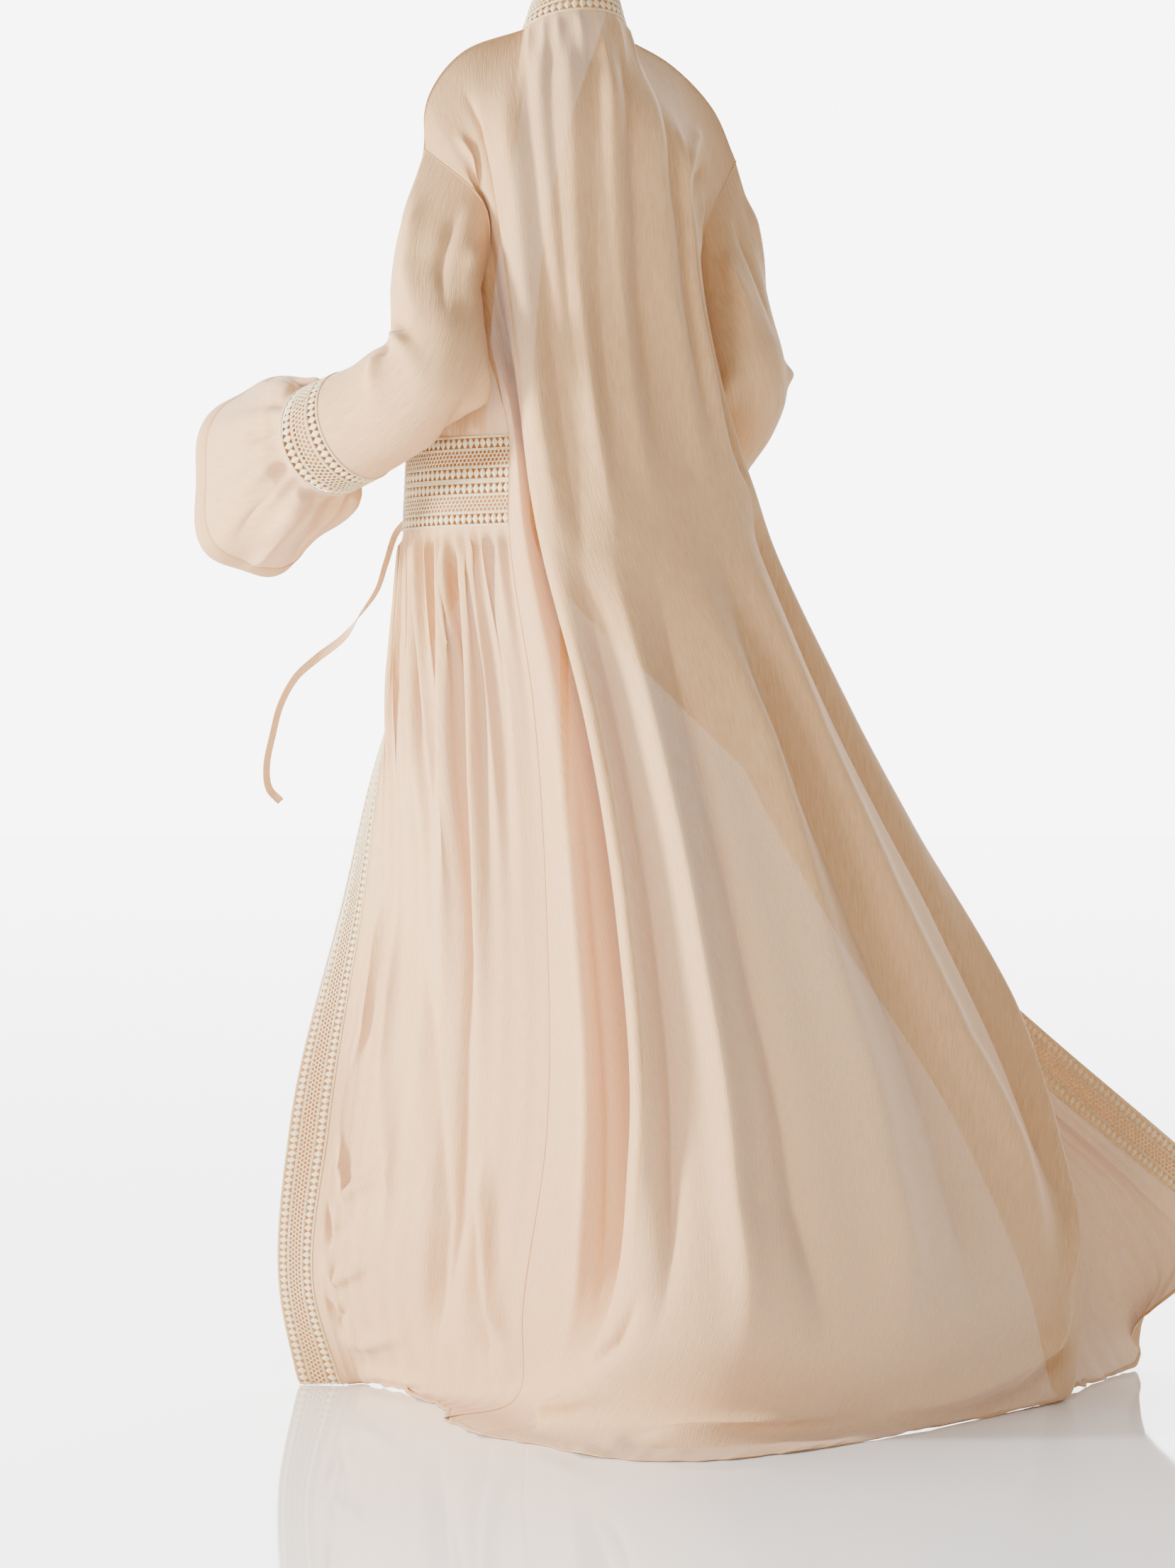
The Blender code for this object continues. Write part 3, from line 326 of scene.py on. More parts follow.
# Folds pressed into each piece, listed one by one. Each is a line of (share across, path down) points with a
# half width and a height in metres, out where it is positive, and the shares of its length over which it
# rises at its start and dies at its end
BACK_FOLDS = (
    (((0.20, 0.03), (0.235, 0.09), (0.25, 0.16), (0.243, 0.26), (0.25, 0.36), (0.268, 0.54)),
     0.009, -0.0095, 0.2, 0.3),
    (((0.328, 0.05), (0.33, 0.17), (0.322, 0.30), (0.319, 0.46), (0.315, 0.62)), 0.012, 0.0081, 0.2, 0.3),
    (((0.361, 0.02), (0.372, 0.12), (0.361, 0.24), (0.354, 0.44), (0.345, 0.64)), 0.011, -0.0081, 0.15, 0.2),
    (((0.394, 0.02), (0.393, 0.12), (0.385, 0.22), (0.376, 0.42)), 0.009, 0.0061, 0.1, 0.5),
    (((0.414, 0.02), (0.409, 0.13), (0.402, 0.24), (0.394, 0.50)), 0.010, -0.0068, 0.1, 0.4),
    (((0.444, 0.02), (0.434, 0.13), (0.424, 0.25), (0.419, 0.42), (0.41, 0.62)), 0.011, 0.0081, 0.1, 0.3),
    (((0.482, 0.02), (0.470, 0.13), (0.464, 0.25), (0.46, 0.50)), 0.011, -0.0088, 0.1, 0.4),
    (((0.515, 0.02), (0.492, 0.15), (0.494, 0.27), (0.503, 0.38), (0.51, 0.58)), 0.014, 0.0121, 0.15, 0.3),
    (((0.545, 0.02), (0.529, 0.17), (0.536, 0.30), (0.55, 0.52)), 0.011, -0.0095, 0.15, 0.4),
    (((0.61, 0.04), (0.585, 0.18), (0.60, 0.30), (0.629, 0.40), (0.638, 0.60)), 0.015, 0.0121, 0.2, 0.4),
    (((0.645, 0.04), (0.63, 0.20), (0.655, 0.34), (0.67, 0.50)), 0.010, -0.0081, 0.3, 0.4),
    (((0.73, 0.08), (0.678, 0.19), (0.675, 0.29), (0.697, 0.40), (0.702, 0.55)), 0.012, 0.0108, 0.2, 0.4),
    (((0.75, 0.10), (0.715, 0.21), (0.728, 0.30), (0.74, 0.42), (0.727, 0.55)), 0.010, -0.0135, 0.3, 0.2),
    (((0.86, 0.05), (0.80, 0.11), (0.74, 0.17)), 0.008, 0.0081, 0.3, 0.4),
    (((0.90, 0.08), (0.84, 0.15), (0.77, 0.22)), 0.008, -0.0081, 0.3, 0.4),
    (((0.93, 0.12), (0.87, 0.20), (0.80, 0.28)), 0.009, 0.0081, 0.3, 0.4),
    (((0.11, 0.06), (0.16, 0.12), (0.20, 0.20)), 0.009, 0.0081, 0.3, 0.4),
    (((0.05, 0.10), (0.11, 0.16), (0.15, 0.26)), 0.008, -0.0068, 0.3, 0.4),
    (((0.285, 0.50), (0.30, 0.77), (0.305, 0.97), (0.303, 1.24), (0.29, 1.42)), 0.018, 0.0135, 0.3, 0.3),
    (((0.336, 0.58), (0.343, 0.85), (0.347, 1.04), (0.351, 1.24), (0.348, 1.48)), 0.018, -0.0194, 0.2, 0.2),
    (((0.383, 0.55), (0.400, 0.85), (0.413, 1.08), (0.430, 1.31), (0.461, 1.50)), 0.022, 0.0227, 0.3, 0.2),
    (((0.47, 0.58), (0.467, 0.85), (0.476, 1.08), (0.497, 1.31), (0.539, 1.50)), 0.022, -0.0259, 0.3, 0.2),
    (((0.545, 0.55), (0.559, 0.81), (0.557, 1.04), (0.568, 1.28), (0.599, 1.50)), 0.024, 0.0259, 0.3, 0.2),
    (((0.609, 0.55), (0.615, 0.79), (0.619, 1.00), (0.630, 1.22), (0.656, 1.48)), 0.019, -0.0227, 0.3, 0.2),
    (((0.668, 0.52), (0.652, 0.79), (0.653, 0.97), (0.667, 1.14), (0.697, 1.28), (0.726, 1.44)),
     0.019, 0.0244, 0.3, 0.2),
    (((0.727, 0.52), (0.718, 0.72), (0.720, 0.91), (0.73, 1.08), (0.74, 1.20), (0.755, 1.38)),
     0.015, -0.0210, 0.1, 0.2),
    (((0.775, 0.90), (0.770, 1.09), (0.765, 1.22), (0.763, 1.35), (0.740, 1.48)), 0.013, 0.0175, 0.4, 0.2),
    (((0.82, 0.30), (0.81, 0.62), (0.81, 1.05), (0.815, 1.50)), 0.011, -0.0081, 0.3, 0.3),
    (((0.06, 0.66), (0.065, 1.00), (0.075, 1.38), (0.09, 1.52)), 0.012, 0.0081, 0.4, 0.2),
    (((0.10, 0.80), (0.105, 1.15), (0.12, 1.46)), 0.010, -0.0081, 0.4, 0.2),
    (((0.760, 1.44), (0.730, 1.50), (0.646, 1.545), (0.573, 1.56)), 0.013, 0.0175, 0.3, 0.4),
    (((0.768, 1.50), (0.720, 1.555), (0.650, 1.585)), 0.011, -0.0140, 0.3, 0.4),
    (((0.135, 1.54), (0.22, 1.52), (0.30, 1.47), (0.319, 1.39)), 0.013, -0.0157, 0.2, 0.4),
    (((0.12, 1.58), (0.24, 1.565), (0.34, 1.52)), 0.012, 0.0157, 0.2, 0.4),
    (((0.37, 1.60), (0.439, 1.58), (0.512, 1.555), (0.593, 1.55)), 0.011, 0.0157, 0.3, 0.4),
    (((0.40, 1.62), (0.48, 1.61), (0.56, 1.60)), 0.009, -0.0081, 0.3, 0.4),
    (((0.36, 1.56), (0.37, 1.68)), 0.016, 0.0035, 0.4, 0.3),
    (((0.44, 1.60), (0.45, 1.69)), 0.018, 0.0035, 0.4, 0.3),
    (((0.60, 1.58), (0.61, 1.70)), 0.018, 0.0035, 0.4, 0.3),
    (((0.70, 1.56), (0.71, 1.70)), 0.016, 0.0035, 0.4, 0.3),
    (((0.372, 0.0), (0.370, 0.07)), 0.0045, 0.0041, 0.05, 0.8),
    (((0.405, 0.0), (0.402, 0.09)), 0.0040, 0.0035, 0.05, 0.8),
    (((0.432, 0.0), (0.428, 0.06)), 0.0045, 0.0041, 0.05, 0.8),
    (((0.470, 0.0), (0.468, 0.10)), 0.0050, 0.0043, 0.05, 0.8),
    (((0.505, 0.0), (0.506, 0.07)), 0.0040, 0.0035, 0.05, 0.8),
    (((0.548, 0.0), (0.550, 0.09)), 0.0050, 0.0041, 0.05, 0.8),
    (((0.590, 0.0), (0.596, 0.08)), 0.0045, 0.0041, 0.05, 0.8),
)
BODICE_FOLDS = {
    "left": (
        (((0.14, 0.40), (0.15, 0.47)), 0.0045, 0.0059, 0.7, 0.0),
        (((0.24, 0.38), (0.25, 0.47)), 0.0050, 0.0065, 0.7, 0.0),
        (((0.35, 0.40), (0.35, 0.47)), 0.0040, 0.0052, 0.7, 0.0),
        (((0.46, 0.37), (0.46, 0.47)), 0.0055, 0.0065, 0.7, 0.0),
        (((0.58, 0.39), (0.57, 0.47)), 0.0045, 0.0059, 0.7, 0.0),
        (((0.70, 0.37), (0.69, 0.47)), 0.0050, 0.0065, 0.7, 0.0),
        (((0.82, 0.40), (0.81, 0.47)), 0.0045, 0.0052, 0.7, 0.0),
        (((0.30, 0.12), (0.45, 0.25), (0.55, 0.38)), 0.014, -0.0065, 0.4, 0.4),
        (((0.65, 0.10), (0.68, 0.28)), 0.012, 0.0052, 0.4, 0.4),
    ),
    "right": (
        (((0.15, 0.39), (0.14, 0.47)), 0.0045, 0.0052, 0.7, 0.0),
        (((0.28, 0.41), (0.27, 0.47)), 0.0045, 0.0052, 0.7, 0.0),
        (((0.42, 0.38), (0.42, 0.47)), 0.0050, 0.0059, 0.7, 0.0),
        (((0.57, 0.40), (0.56, 0.47)), 0.0045, 0.0052, 0.7, 0.0),
        (((0.72, 0.38), (0.72, 0.47)), 0.0050, 0.0059, 0.7, 0.0),
        (((0.85, 0.40), (0.85, 0.47)), 0.0040, 0.0046, 0.7, 0.0),
        (((0.30, 0.14), (0.42, 0.26), (0.50, 0.38)), 0.013, -0.0059, 0.4, 0.4),
    ),
}
SKIRT_FOLDS = {
    "left": (
        (((0.516, 0.575), (0.514, 0.65), (0.547, 0.77), (0.607, 0.89)), 0.008, -0.0085, 0.05, 0.5),
        (((0.475, 0.575), (0.472, 0.66), (0.50, 0.80), (0.57, 0.95)), 0.009, 0.0070, 0.05, 0.5),
        (((0.349, 0.575), (0.355, 0.65), (0.412, 0.81), (0.497, 0.97)), 0.009, -0.0090, 0.05, 0.4),
        (((0.535, 0.98), (0.50, 1.08), (0.456, 1.18), (0.358, 1.36), (0.355, 1.52)),
         0.010, -0.0180, 0.4, 0.15),
        (((0.295, 0.575), (0.30, 0.68), (0.35, 0.84), (0.40, 1.00), (0.41, 1.16)), 0.011, 0.0130, 0.1, 0.4),
        (((0.232, 0.575), (0.254, 0.69), (0.292, 0.85), (0.315, 1.01), (0.326, 1.16), (0.30, 1.36),
          (0.322, 1.51)), 0.010, -0.0190, 0.05, 0.15),
        (((0.192, 0.575), (0.214, 0.69), (0.245, 0.85), (0.255, 1.01), (0.25, 1.20)),
         0.011, 0.0120, 0.1, 0.4),
        (((0.155, 0.575), (0.178, 0.69), (0.208, 0.85), (0.215, 1.01)), 0.008, -0.0080, 0.05, 0.5),
        (((0.083, 0.575), (0.104, 0.69), (0.126, 0.85), (0.130, 1.01)), 0.008, -0.0075, 0.05, 0.5),
        (((0.62, 0.575), (0.63, 0.68), (0.66, 0.80), (0.70, 0.98)), 0.010, -0.0080, 0.05, 0.5),
        (((0.70, 0.575), (0.72, 0.70), (0.74, 0.86)), 0.009, 0.0075, 0.05, 0.5),
        (((0.79, 0.575), (0.80, 0.72), (0.82, 0.94)), 0.009, -0.0080, 0.05, 0.5),
        (((0.87, 0.575), (0.87, 0.68), (0.88, 0.82)), 0.008, 0.0065, 0.05, 0.5),
        (((0.780, 0.96), (0.790, 1.06), (0.816, 1.14), (0.894, 1.21)), 0.009, 0.0120, 0.3, 0.4),
        (((0.670, 0.96), (0.635, 1.17), (0.553, 1.31), (0.560, 1.41)), 0.009, 0.0140, 0.3, 0.3),
        (((0.92, 1.26), (0.85, 1.31), (0.774, 1.34), (0.62, 1.32), (0.48, 1.30)), 0.008, 0.0120, 0.3, 0.4),
        (((0.94, 1.34), (0.86, 1.39), (0.76, 1.38), (0.66, 1.36)), 0.008, -0.0080, 0.3, 0.4),
        (((0.92, 1.41), (0.80, 1.44), (0.687, 1.43), (0.561, 1.41)), 0.008, 0.0120, 0.3, 0.4),
        (((0.93, 1.46), (0.82, 1.49), (0.70, 1.47)), 0.008, -0.0080, 0.3, 0.4),
        (((0.88, 1.51), (0.678, 1.52), (0.455, 1.50)), 0.009, 0.0085, 0.3, 0.4),
        (((0.225, 1.26), (0.160, 1.38), (0.083, 1.50)), 0.009, 0.0150, 0.3, 0.2),
        (((0.26, 1.32), (0.21, 1.44), (0.14, 1.54)), 0.009, -0.0130, 0.3, 0.2),
        (((0.80, 1.57), (0.617, 1.57), (0.363, 1.58)), 0.009, 0.0070, 0.3, 0.3),
    ),
    "right": (
        (((0.12, 0.70), (0.14, 1.00), (0.18, 1.40)), 0.008, 0.0074, 0.4, 0.4),
        (((0.35, 0.75), (0.36, 1.05), (0.38, 1.45)), 0.009, -0.0085, 0.4, 0.4),
        (((0.55, 0.80), (0.56, 1.10), (0.60, 1.50)), 0.010, 0.0095, 0.4, 0.4),
        (((0.78, 0.90), (0.78, 1.20), (0.78, 1.55)), 0.011, -0.0095, 0.4, 0.3),
        (((0.88, 1.05), (0.88, 1.30), (0.90, 1.62)), 0.010, 0.0085, 0.4, 0.3),
    ),
}
# Sleeve folds: share round from the outer side towards the back, share of the length from the armhole
SLEEVE_FOLDS = {
    "left": (
        (((0.02, 0.05), (0.05, 0.30), (0.10, 0.52)), 0.012, 0.0076, 0.3, 0.5),
        (((0.14, 0.04), (0.16, 0.26), (0.20, 0.48)), 0.011, -0.0085, 0.3, 0.5),
        (((0.26, 0.06), (0.27, 0.30), (0.30, 0.50)), 0.012, 0.0085, 0.3, 0.5),
        (((0.92, 0.42), (0.05, 0.52), (0.20, 0.60)), 0.010, -0.0135, 0.4, 0.4),
        (((0.95, 0.50), (0.08, 0.58), (0.24, 0.68)), 0.009, 0.0110, 0.4, 0.4),
        (((0.90, 0.58), (0.02, 0.66), (0.14, 0.78)), 0.009, -0.0093, 0.4, 0.4),
        (((0.96, 0.66), (0.10, 0.76), (0.20, 0.88)), 0.010, 0.0085, 0.4, 0.4),
        (((0.34, 0.50), (0.42, 0.60), (0.52, 0.66)), 0.011, 0.0119, 0.4, 0.4),
        (((0.30, 0.60), (0.40, 0.72), (0.50, 0.80)), 0.010, -0.0101, 0.4, 0.4),
        (((0.60, 0.36), (0.70, 0.50), (0.80, 0.58)), 0.010, -0.0119, 0.4, 0.4),
        (((0.55, 0.12), (0.60, 0.34), (0.70, 0.50)), 0.012, 0.0085, 0.4, 0.5),
        (((0.70, 0.66), (0.78, 0.78), (0.82, 0.92)), 0.010, 0.0085, 0.4, 0.4),
    ),
    "right": (
        (((0.00, 0.05), (0.97, 0.30), (0.92, 0.52)), 0.012, 0.0076, 0.3, 0.5),
        (((0.12, 0.04), (0.12, 0.26), (0.14, 0.48)), 0.011, -0.0085, 0.3, 0.5),
        (((0.24, 0.06), (0.25, 0.30), (0.27, 0.50)), 0.012, 0.0085, 0.3, 0.5),
        (((0.08, 0.40), (0.96, 0.52), (0.86, 0.60)), 0.010, -0.0126, 0.4, 0.4),
        (((0.10, 0.52), (0.98, 0.62), (0.86, 0.70)), 0.009, 0.0101, 0.4, 0.4),
        (((0.12, 0.64), (0.00, 0.74), (0.90, 0.84)), 0.010, -0.0085, 0.4, 0.4),
        (((0.30, 0.48), (0.38, 0.60), (0.48, 0.68)), 0.011, 0.0110, 0.4, 0.4),
        (((0.55, 0.36), (0.66, 0.50), (0.76, 0.58)), 0.010, -0.0101, 0.4, 0.4),
        (((0.52, 0.68), (0.62, 0.80), (0.70, 0.92)), 0.010, 0.0076, 0.4, 0.4),
    ),
}
BELL_FOLDS = {
    "left": (
        (((0.86, 0.02), (0.84, 0.30), (0.80, 0.75)), 0.011, -0.0137, 0.1, 0.6),
        (((0.92, 0.02), (0.91, 0.40), (0.88, 0.95)), 0.013, 0.0112, 0.1, 0.5),
        (((0.16, 0.02), (0.18, 0.35), (0.22, 0.80)), 0.011, -0.0100, 0.1, 0.6),
        (((0.24, 0.02), (0.27, 0.40), (0.30, 1.00)), 0.013, 0.0106, 0.1, 0.3),
        (((0.33, 0.02), (0.36, 0.40), (0.38, 0.95)), 0.011, -0.0112, 0.1, 0.4),
        (((0.42, 0.02), (0.44, 0.45), (0.47, 1.00)), 0.013, 0.0100, 0.1, 0.3),
        (((0.55, 0.02), (0.56, 0.40), (0.58, 0.90)), 0.012, -0.0100, 0.1, 0.5),
        (((0.68, 0.02), (0.68, 0.45), (0.70, 1.00)), 0.014, 0.0100, 0.1, 0.3),
        (((0.04, 0.05), (0.05, 0.40)), 0.010, -0.0075, 0.2, 0.6),
    ),
    "right": (
        (((0.08, 0.02), (0.09, 0.35), (0.12, 0.85)), 0.011, -0.0100, 0.1, 0.5),
        (((0.17, 0.02), (0.19, 0.40), (0.22, 1.00)), 0.013, 0.0100, 0.1, 0.3),
        (((0.30, 0.02), (0.32, 0.40), (0.34, 0.95)), 0.011, -0.0106, 0.1, 0.4),
        (((0.43, 0.02), (0.44, 0.45), (0.46, 1.00)), 0.013, 0.0094, 0.1, 0.3),
        (((0.58, 0.02), (0.59, 0.40), (0.62, 0.90)), 0.012, -0.0100, 0.1, 0.5),
        (((0.72, 0.02), (0.73, 0.45), (0.76, 1.00)), 0.014, 0.0100, 0.1, 0.3),
        (((0.88, 0.02), (0.87, 0.35), (0.85, 0.80)), 0.011, -0.0100, 0.1, 0.6),
    ),
}

# Cells of each fine surface: down or along, and across or round
BACK_CELLS = (290, 312)
BODICE_CELLS = (90, 80)
SKIRT_CELLS = (200, 190)
SLEEVE_CELLS = (110, 144)
BELL_CELLS = (70, 256)
LACE_GRID = 160
WAIST_ROWS = 24
FACING_ROWS = 9
FACING_EDGES = (0.01, 0.99)
SEAM_POINTS = 240
ARMHOLE_POINTS = 96
SHOULDER_POINTS = 60

SEAM_MARGIN = 0.012
RIDGE_POWER = 1.8
VALLEY_POWER = 1.3
FACING_DEPTH = 0.0030
# Painted shade: the facing's crepe colour is held back by this in red, by its square in green and by its cube
# in blue, for the shade of the lace over it
FACING_SHADE = 0.72
# Heights of the thin sheets over the floor where they lie on it
CLOTH_LIES = 0.0008
FACING_LIES = 0.0003
LEAST_LIES = 0.0002
SETTLE_FROM = 0.020
SETTLE_DROP = 0.0012
HEM_WAVE = 0.0024
HEM_LIFT = 0.0007
HEM_WAVE_FROM = 1.60
HEM_WAVE_PERIODS = (0.036, 0.061, 0.094, 0.16, 0.23)
HEM_WAVE_PERIOD = 0.1
HEM_SEED = {"back": 17, "left": 18, "right": 19}
HEM_LIES_UNDER = 0.006
HEM_LIES_FADE = 0.004
HEM_FLATTEN = 0.9
# Rows up from the edge to the one that gives the cloth's direction there
HEM_ROWS = {"back": 6, "skirt": 5, "bell": 8, "wave": 8}
HEM_THICKNESS = 0.0007
BELL_HEM_THICKNESS = 0.0006
SEAM_RADIUS = 0.0008
ARMHOLE_RADIUS = 0.0009
SEAM_BESIDE = 0.4
RIDGE_TURNS = 9
RIDGE_SPREAD = 1.3
STITCH_PITCH = 0.003
STITCH_INSET = 0.0015
STITCH_START = 0.2
STITCH_LENGTH = 0.65
STITCH_HALF_WIDTH = 0.00022
STITCH_HEIGHT = 0.0003
STITCH_FLAT = 0.0002
STITCH_SECTION = ((-1, 0.2), (0, 1.0), (1, 0.2))
STITCH_FACES = ((0, 3, 4, 1), (1, 4, 5, 2), (0, 1, 2), (3, 5, 4))
HEM_FLAT_STEP = 0.15
# Section of a turned hem: share of its width and height in thicknesses
HEM_SECTION = ((1.0, 0.45), (0.92, 1.0), (0.5, 0.85), (0.06, 1.0), (-0.04, 0.0),
               (0.06, -1.0), (0.5, -0.85), (0.92, -1.0), (1.0, -0.45))

# Crochet lace, in metres across the band from its outer edge: the four pairs of cords, the two rows of
# diamonds and the lattice, and one repeat along the band with two diamonds and three lattice holes
REPEAT = 0.016
DIAMONDS = 2
LATTICE_HOLES = 3
CORD_WIDTH = 0.0013
CORD_STEPS = 4
CORD_KNOB = 0.10
CORD_RING = ((-0.62, 0.0), (-0.25, 1.05), (0.25, 1.05), (0.62, 0.0), (0.0, -0.63))
CORD_PAIRS_AT = (0.0, 0.0140, 0.0334, 0.0474)
DIAMOND_ROWS = ((0.0024, 0.0142), (0.0358, 0.0476))
DIAMOND_LENGTH = 0.52
DIAMOND_RIM = ((1.0, 0.0), (0.56, 0.47), (0.11, 1.0), (-0.11, 1.0), (-0.56, 0.47))
DIAMOND_MIDDLE = (1.15, -0.7)
DIAMOND_RINGS = ((0.62, 0.95, -0.6), (1.0, 0.35, -0.35))
LATTICE = (0.0164, 0.0336)
LATTICE_ROWS = 4
LATTICE_SIDES = 6
HOLE_SHARE = 0.72
HOLE_RINGS = ((1.0, 0.85), (0.82, 1.0), (HOLE_SHARE, 0.1), (1.0, -0.5))


def linear(code):
    """Linear colour of an sRGB hex code."""
    values = [int(code[index:index + 2], 16) / 255 for index in (1, 3, 5)]
    return tuple(v / 12.92 if v <= 0.04045 else ((v + 0.055) / 1.055) ** 2.4 for v in values)


class GarmentSettings(bpy.types.PropertyGroup):
    """Sizes and colours that a user would change."""

    crepe_colour: bpy.props.FloatVectorProperty(
        name="Crepe", description="Colour of the crepe", subtype="COLOR", size=3,
        default=linear("#D6AC7C"), min=0.0, max=1.0)
    lace_colour: bpy.props.FloatVectorProperty(
        name="Lace", description="Colour of the cotton lace", subtype="COLOR", size=3,
        default=linear("#F9E5B8"), min=0.0, max=1.0)
    crepe_cover: bpy.props.FloatProperty(
        name="Crepe cover", description="Share of light that one layer of crepe holds back",
        default=0.985, min=0.5, max=1.0, subtype="FACTOR")
    fold_scale: bpy.props.FloatProperty(
        name="Fold depth", description="Depth of the pressed folds beside the drawn ones",
        default=1.0, min=0.0, max=2.0, subtype="FACTOR")
    hem_width: bpy.props.FloatProperty(
        name="Hem", description="Width of the rolled hem round the foot",
        default=0.008, min=0.004, max=0.02, unit="LENGTH")
    bell_hem_width: bpy.props.FloatProperty(
        name="Cuff hem", description="Width of the turned hem of the bell cuffs",
        default=0.020, min=0.008, max=0.03, unit="LENGTH")
    thread_height: bpy.props.FloatProperty(
        name="Lace relief", description="Height of the lace's threads over its middle",
        default=0.0013, min=0.0002, max=0.002, unit="LENGTH")


def plan(across, toward, height):
    """X, Y, Z of a point measured on the turned plan axes."""
    x = toward * math.sin(TURN) - across * math.cos(TURN)
    y = toward * math.cos(TURN) + across * math.sin(TURN)
    return np.array((x, y, height))


def through(knots, values, at):
    """Values on a smooth curve through the given ones, at the asked places between the knots."""
    knots = np.asarray(knots, float)
    values = np.asarray(values, float)
    steps = np.diff(knots)
    shape = (-1,) + (1,) * (values.ndim - 1)
    rates = np.diff(values, axis=0) / steps.reshape(shape)
    before = steps[:-1].reshape(shape)
    after = steps[1:].reshape(shape)
    middle = (rates[:-1] * after + rates[1:] * before) / (before + after)
    slopes = np.concatenate([rates[:1], middle, rates[-1:]])
    at = np.asarray(at, float)
    index = np.clip(np.searchsorted(knots, at, side="right") - 1, 0, len(knots) - 2)
    share = ((at - knots[index]) / steps[index]).reshape(shape)
    width = steps[index].reshape(shape)
    left = 1 - share
    start = values[index] * (1 + 2 * share) + slopes[index] * width * share
    end = values[index + 1] * (1 + 2 * left) - slopes[index + 1] * width * left
    return start * left ** 2 + end * share ** 2


def smooth(value):
    """A step from 0 to 1 with no corner."""
    value = np.clip(value, 0.0, 1.0)
    return value * value * (3 - 2 * value)


def to_unit(vectors):
    """The vectors at length 1."""
    return vectors / np.maximum(np.linalg.norm(vectors, axis=-1, keepdims=True), 1e-12)


def lengths_along(line):
    """Distance of each point of a line from its start."""
    return np.concatenate([[0.0], np.cumsum(np.linalg.norm(np.diff(line, axis=0), axis=1))])


def closed(line):
    """A loop's points with the first one again at the end."""
    return np.concatenate([line, line[:1]])


def turned_round(half):
    """A section's first half, then the same half turned round."""
    return half + tuple((-a, -b) for a, b in half)


def neck_line(turns, half_width=NECK_HALF_WIDTH, depth=NECK_DEPTH, sides=-NECK_RISE, nape=0.0):
    """The neck seam or a line like it, at turns from the neck's left side round the nape to its right."""
    height = sides + (nape - sides) * np.sin(turns)
    return np.stack([half_width * np.cos(turns), depth * np.sin(turns), height], axis=1)


def shoulder_line(columns):
    """Top of the back at the given columns: left shoulder, arc of the neck, right shoulder."""
    knots = np.linspace(0, SHOULDER_SPAN, len(SHOULDER["left"]))
    left = through(knots, SHOULDER["left"], np.clip(columns, 0, SHOULDER_SPAN))
    right = through(knots, SHOULDER["right"], np.clip(BACK_SPAN - columns, 0, SHOULDER_SPAN))
    middle = neck_line(np.clip((columns - SHOULDER_SPAN) / NECK_SPAN, 0, 1) * math.pi)
    in_left = (columns <= SHOULDER_SPAN)[:, None]
    in_right = (columns >= BACK_SPAN - SHOULDER_SPAN)[:, None]
    return np.where(in_left, left, np.where(in_right, right, middle))


def back_points(columns, path):
    """Points of the back at the given columns and places down the path."""
    top = shoulder_line(columns)
    sections = [top]
    for name, height, kept, _ in LEVELS[1:]:
        places = through(BACK_COLUMNS_AT, BACK_SECTIONS[name], columns)
        heights = kept * top[:, 2] + (1 - kept) * height
        sections.append([plan(a, t, z) for (a, t), z in zip(places, heights)])
    return through(LEVEL_PATH, np.array(sections), path)


def back_column(column, path):
    """One line of points down the back."""
    return back_points(np.array([column]), path)[:, 0]


def front_levels(side):
    """For each level, the points from the seam to the cloth's front edge, then the lace's free edge."""
    neck_side = np.array((HAND[side] * NECK_HALF_WIDTH, 0.0, -NECK_RISE))
    collar_side = np.array((HAND[side] * COLLAR_TOP_HALF_WIDTH, 0.0, COLLAR_TOP_SIDE))
    top = through(np.linspace(0, 1, len(SHOULDER[side])), SHOULDER[side], FRONT_AT[side])
    levels = [np.concatenate([top[:-1], [neck_side, collar_side]])]
    for name, height, kept, _ in LEVELS[1:]:
        points = []
        for (across, toward, *own), start in zip(FRONT[side][name], top):
            level_height = kept * start[2] + (1 - kept) * height
            points.append(plan(across, toward, own[0] if own else level_height))
        cloth_edge = points[-1] + to_unit(points[-2] - points[-1]) * LACE_WIDTH
        levels.append(np.array(points[:-1] + [cloth_edge, points[-1]]))
    return np.array(levels)


def front_points(side, shares, path):
    """Points of a front at shares of its width and places down the path, and its lace's two edges."""
    levels = front_levels(side)
    cloth = through(FRONT_AT[side], levels[:, :-1].transpose(1, 0, 2), shares).transpose(1, 0, 2)
    cloth[0] = through(np.linspace(0, 1, len(SHOULDER[side])), SHOULDER[side], shares)
    grid = through(LEVEL_PATH, cloth, path)
    edges = through(LEVEL_PATH, levels[:, -2:], path)
    grid[:, -1] = edges[:, 0]
    below = np.asarray(path) >= PATH_OF["underarm"]
    grid[below, 0] = back_column(SEAM_COLUMN[side], path)[below]
    return grid, edges


def normals_of(grid, sign, around=False):
    """Outward unit normals of a grid of points."""
    if around:
        along = np.roll(grid, -1, axis=1) - np.roll(grid, 1, axis=1)
    else:
        along = np.gradient(grid, axis=1)
    return to_unit(np.cross(np.gradient(grid, axis=0), along) * sign)


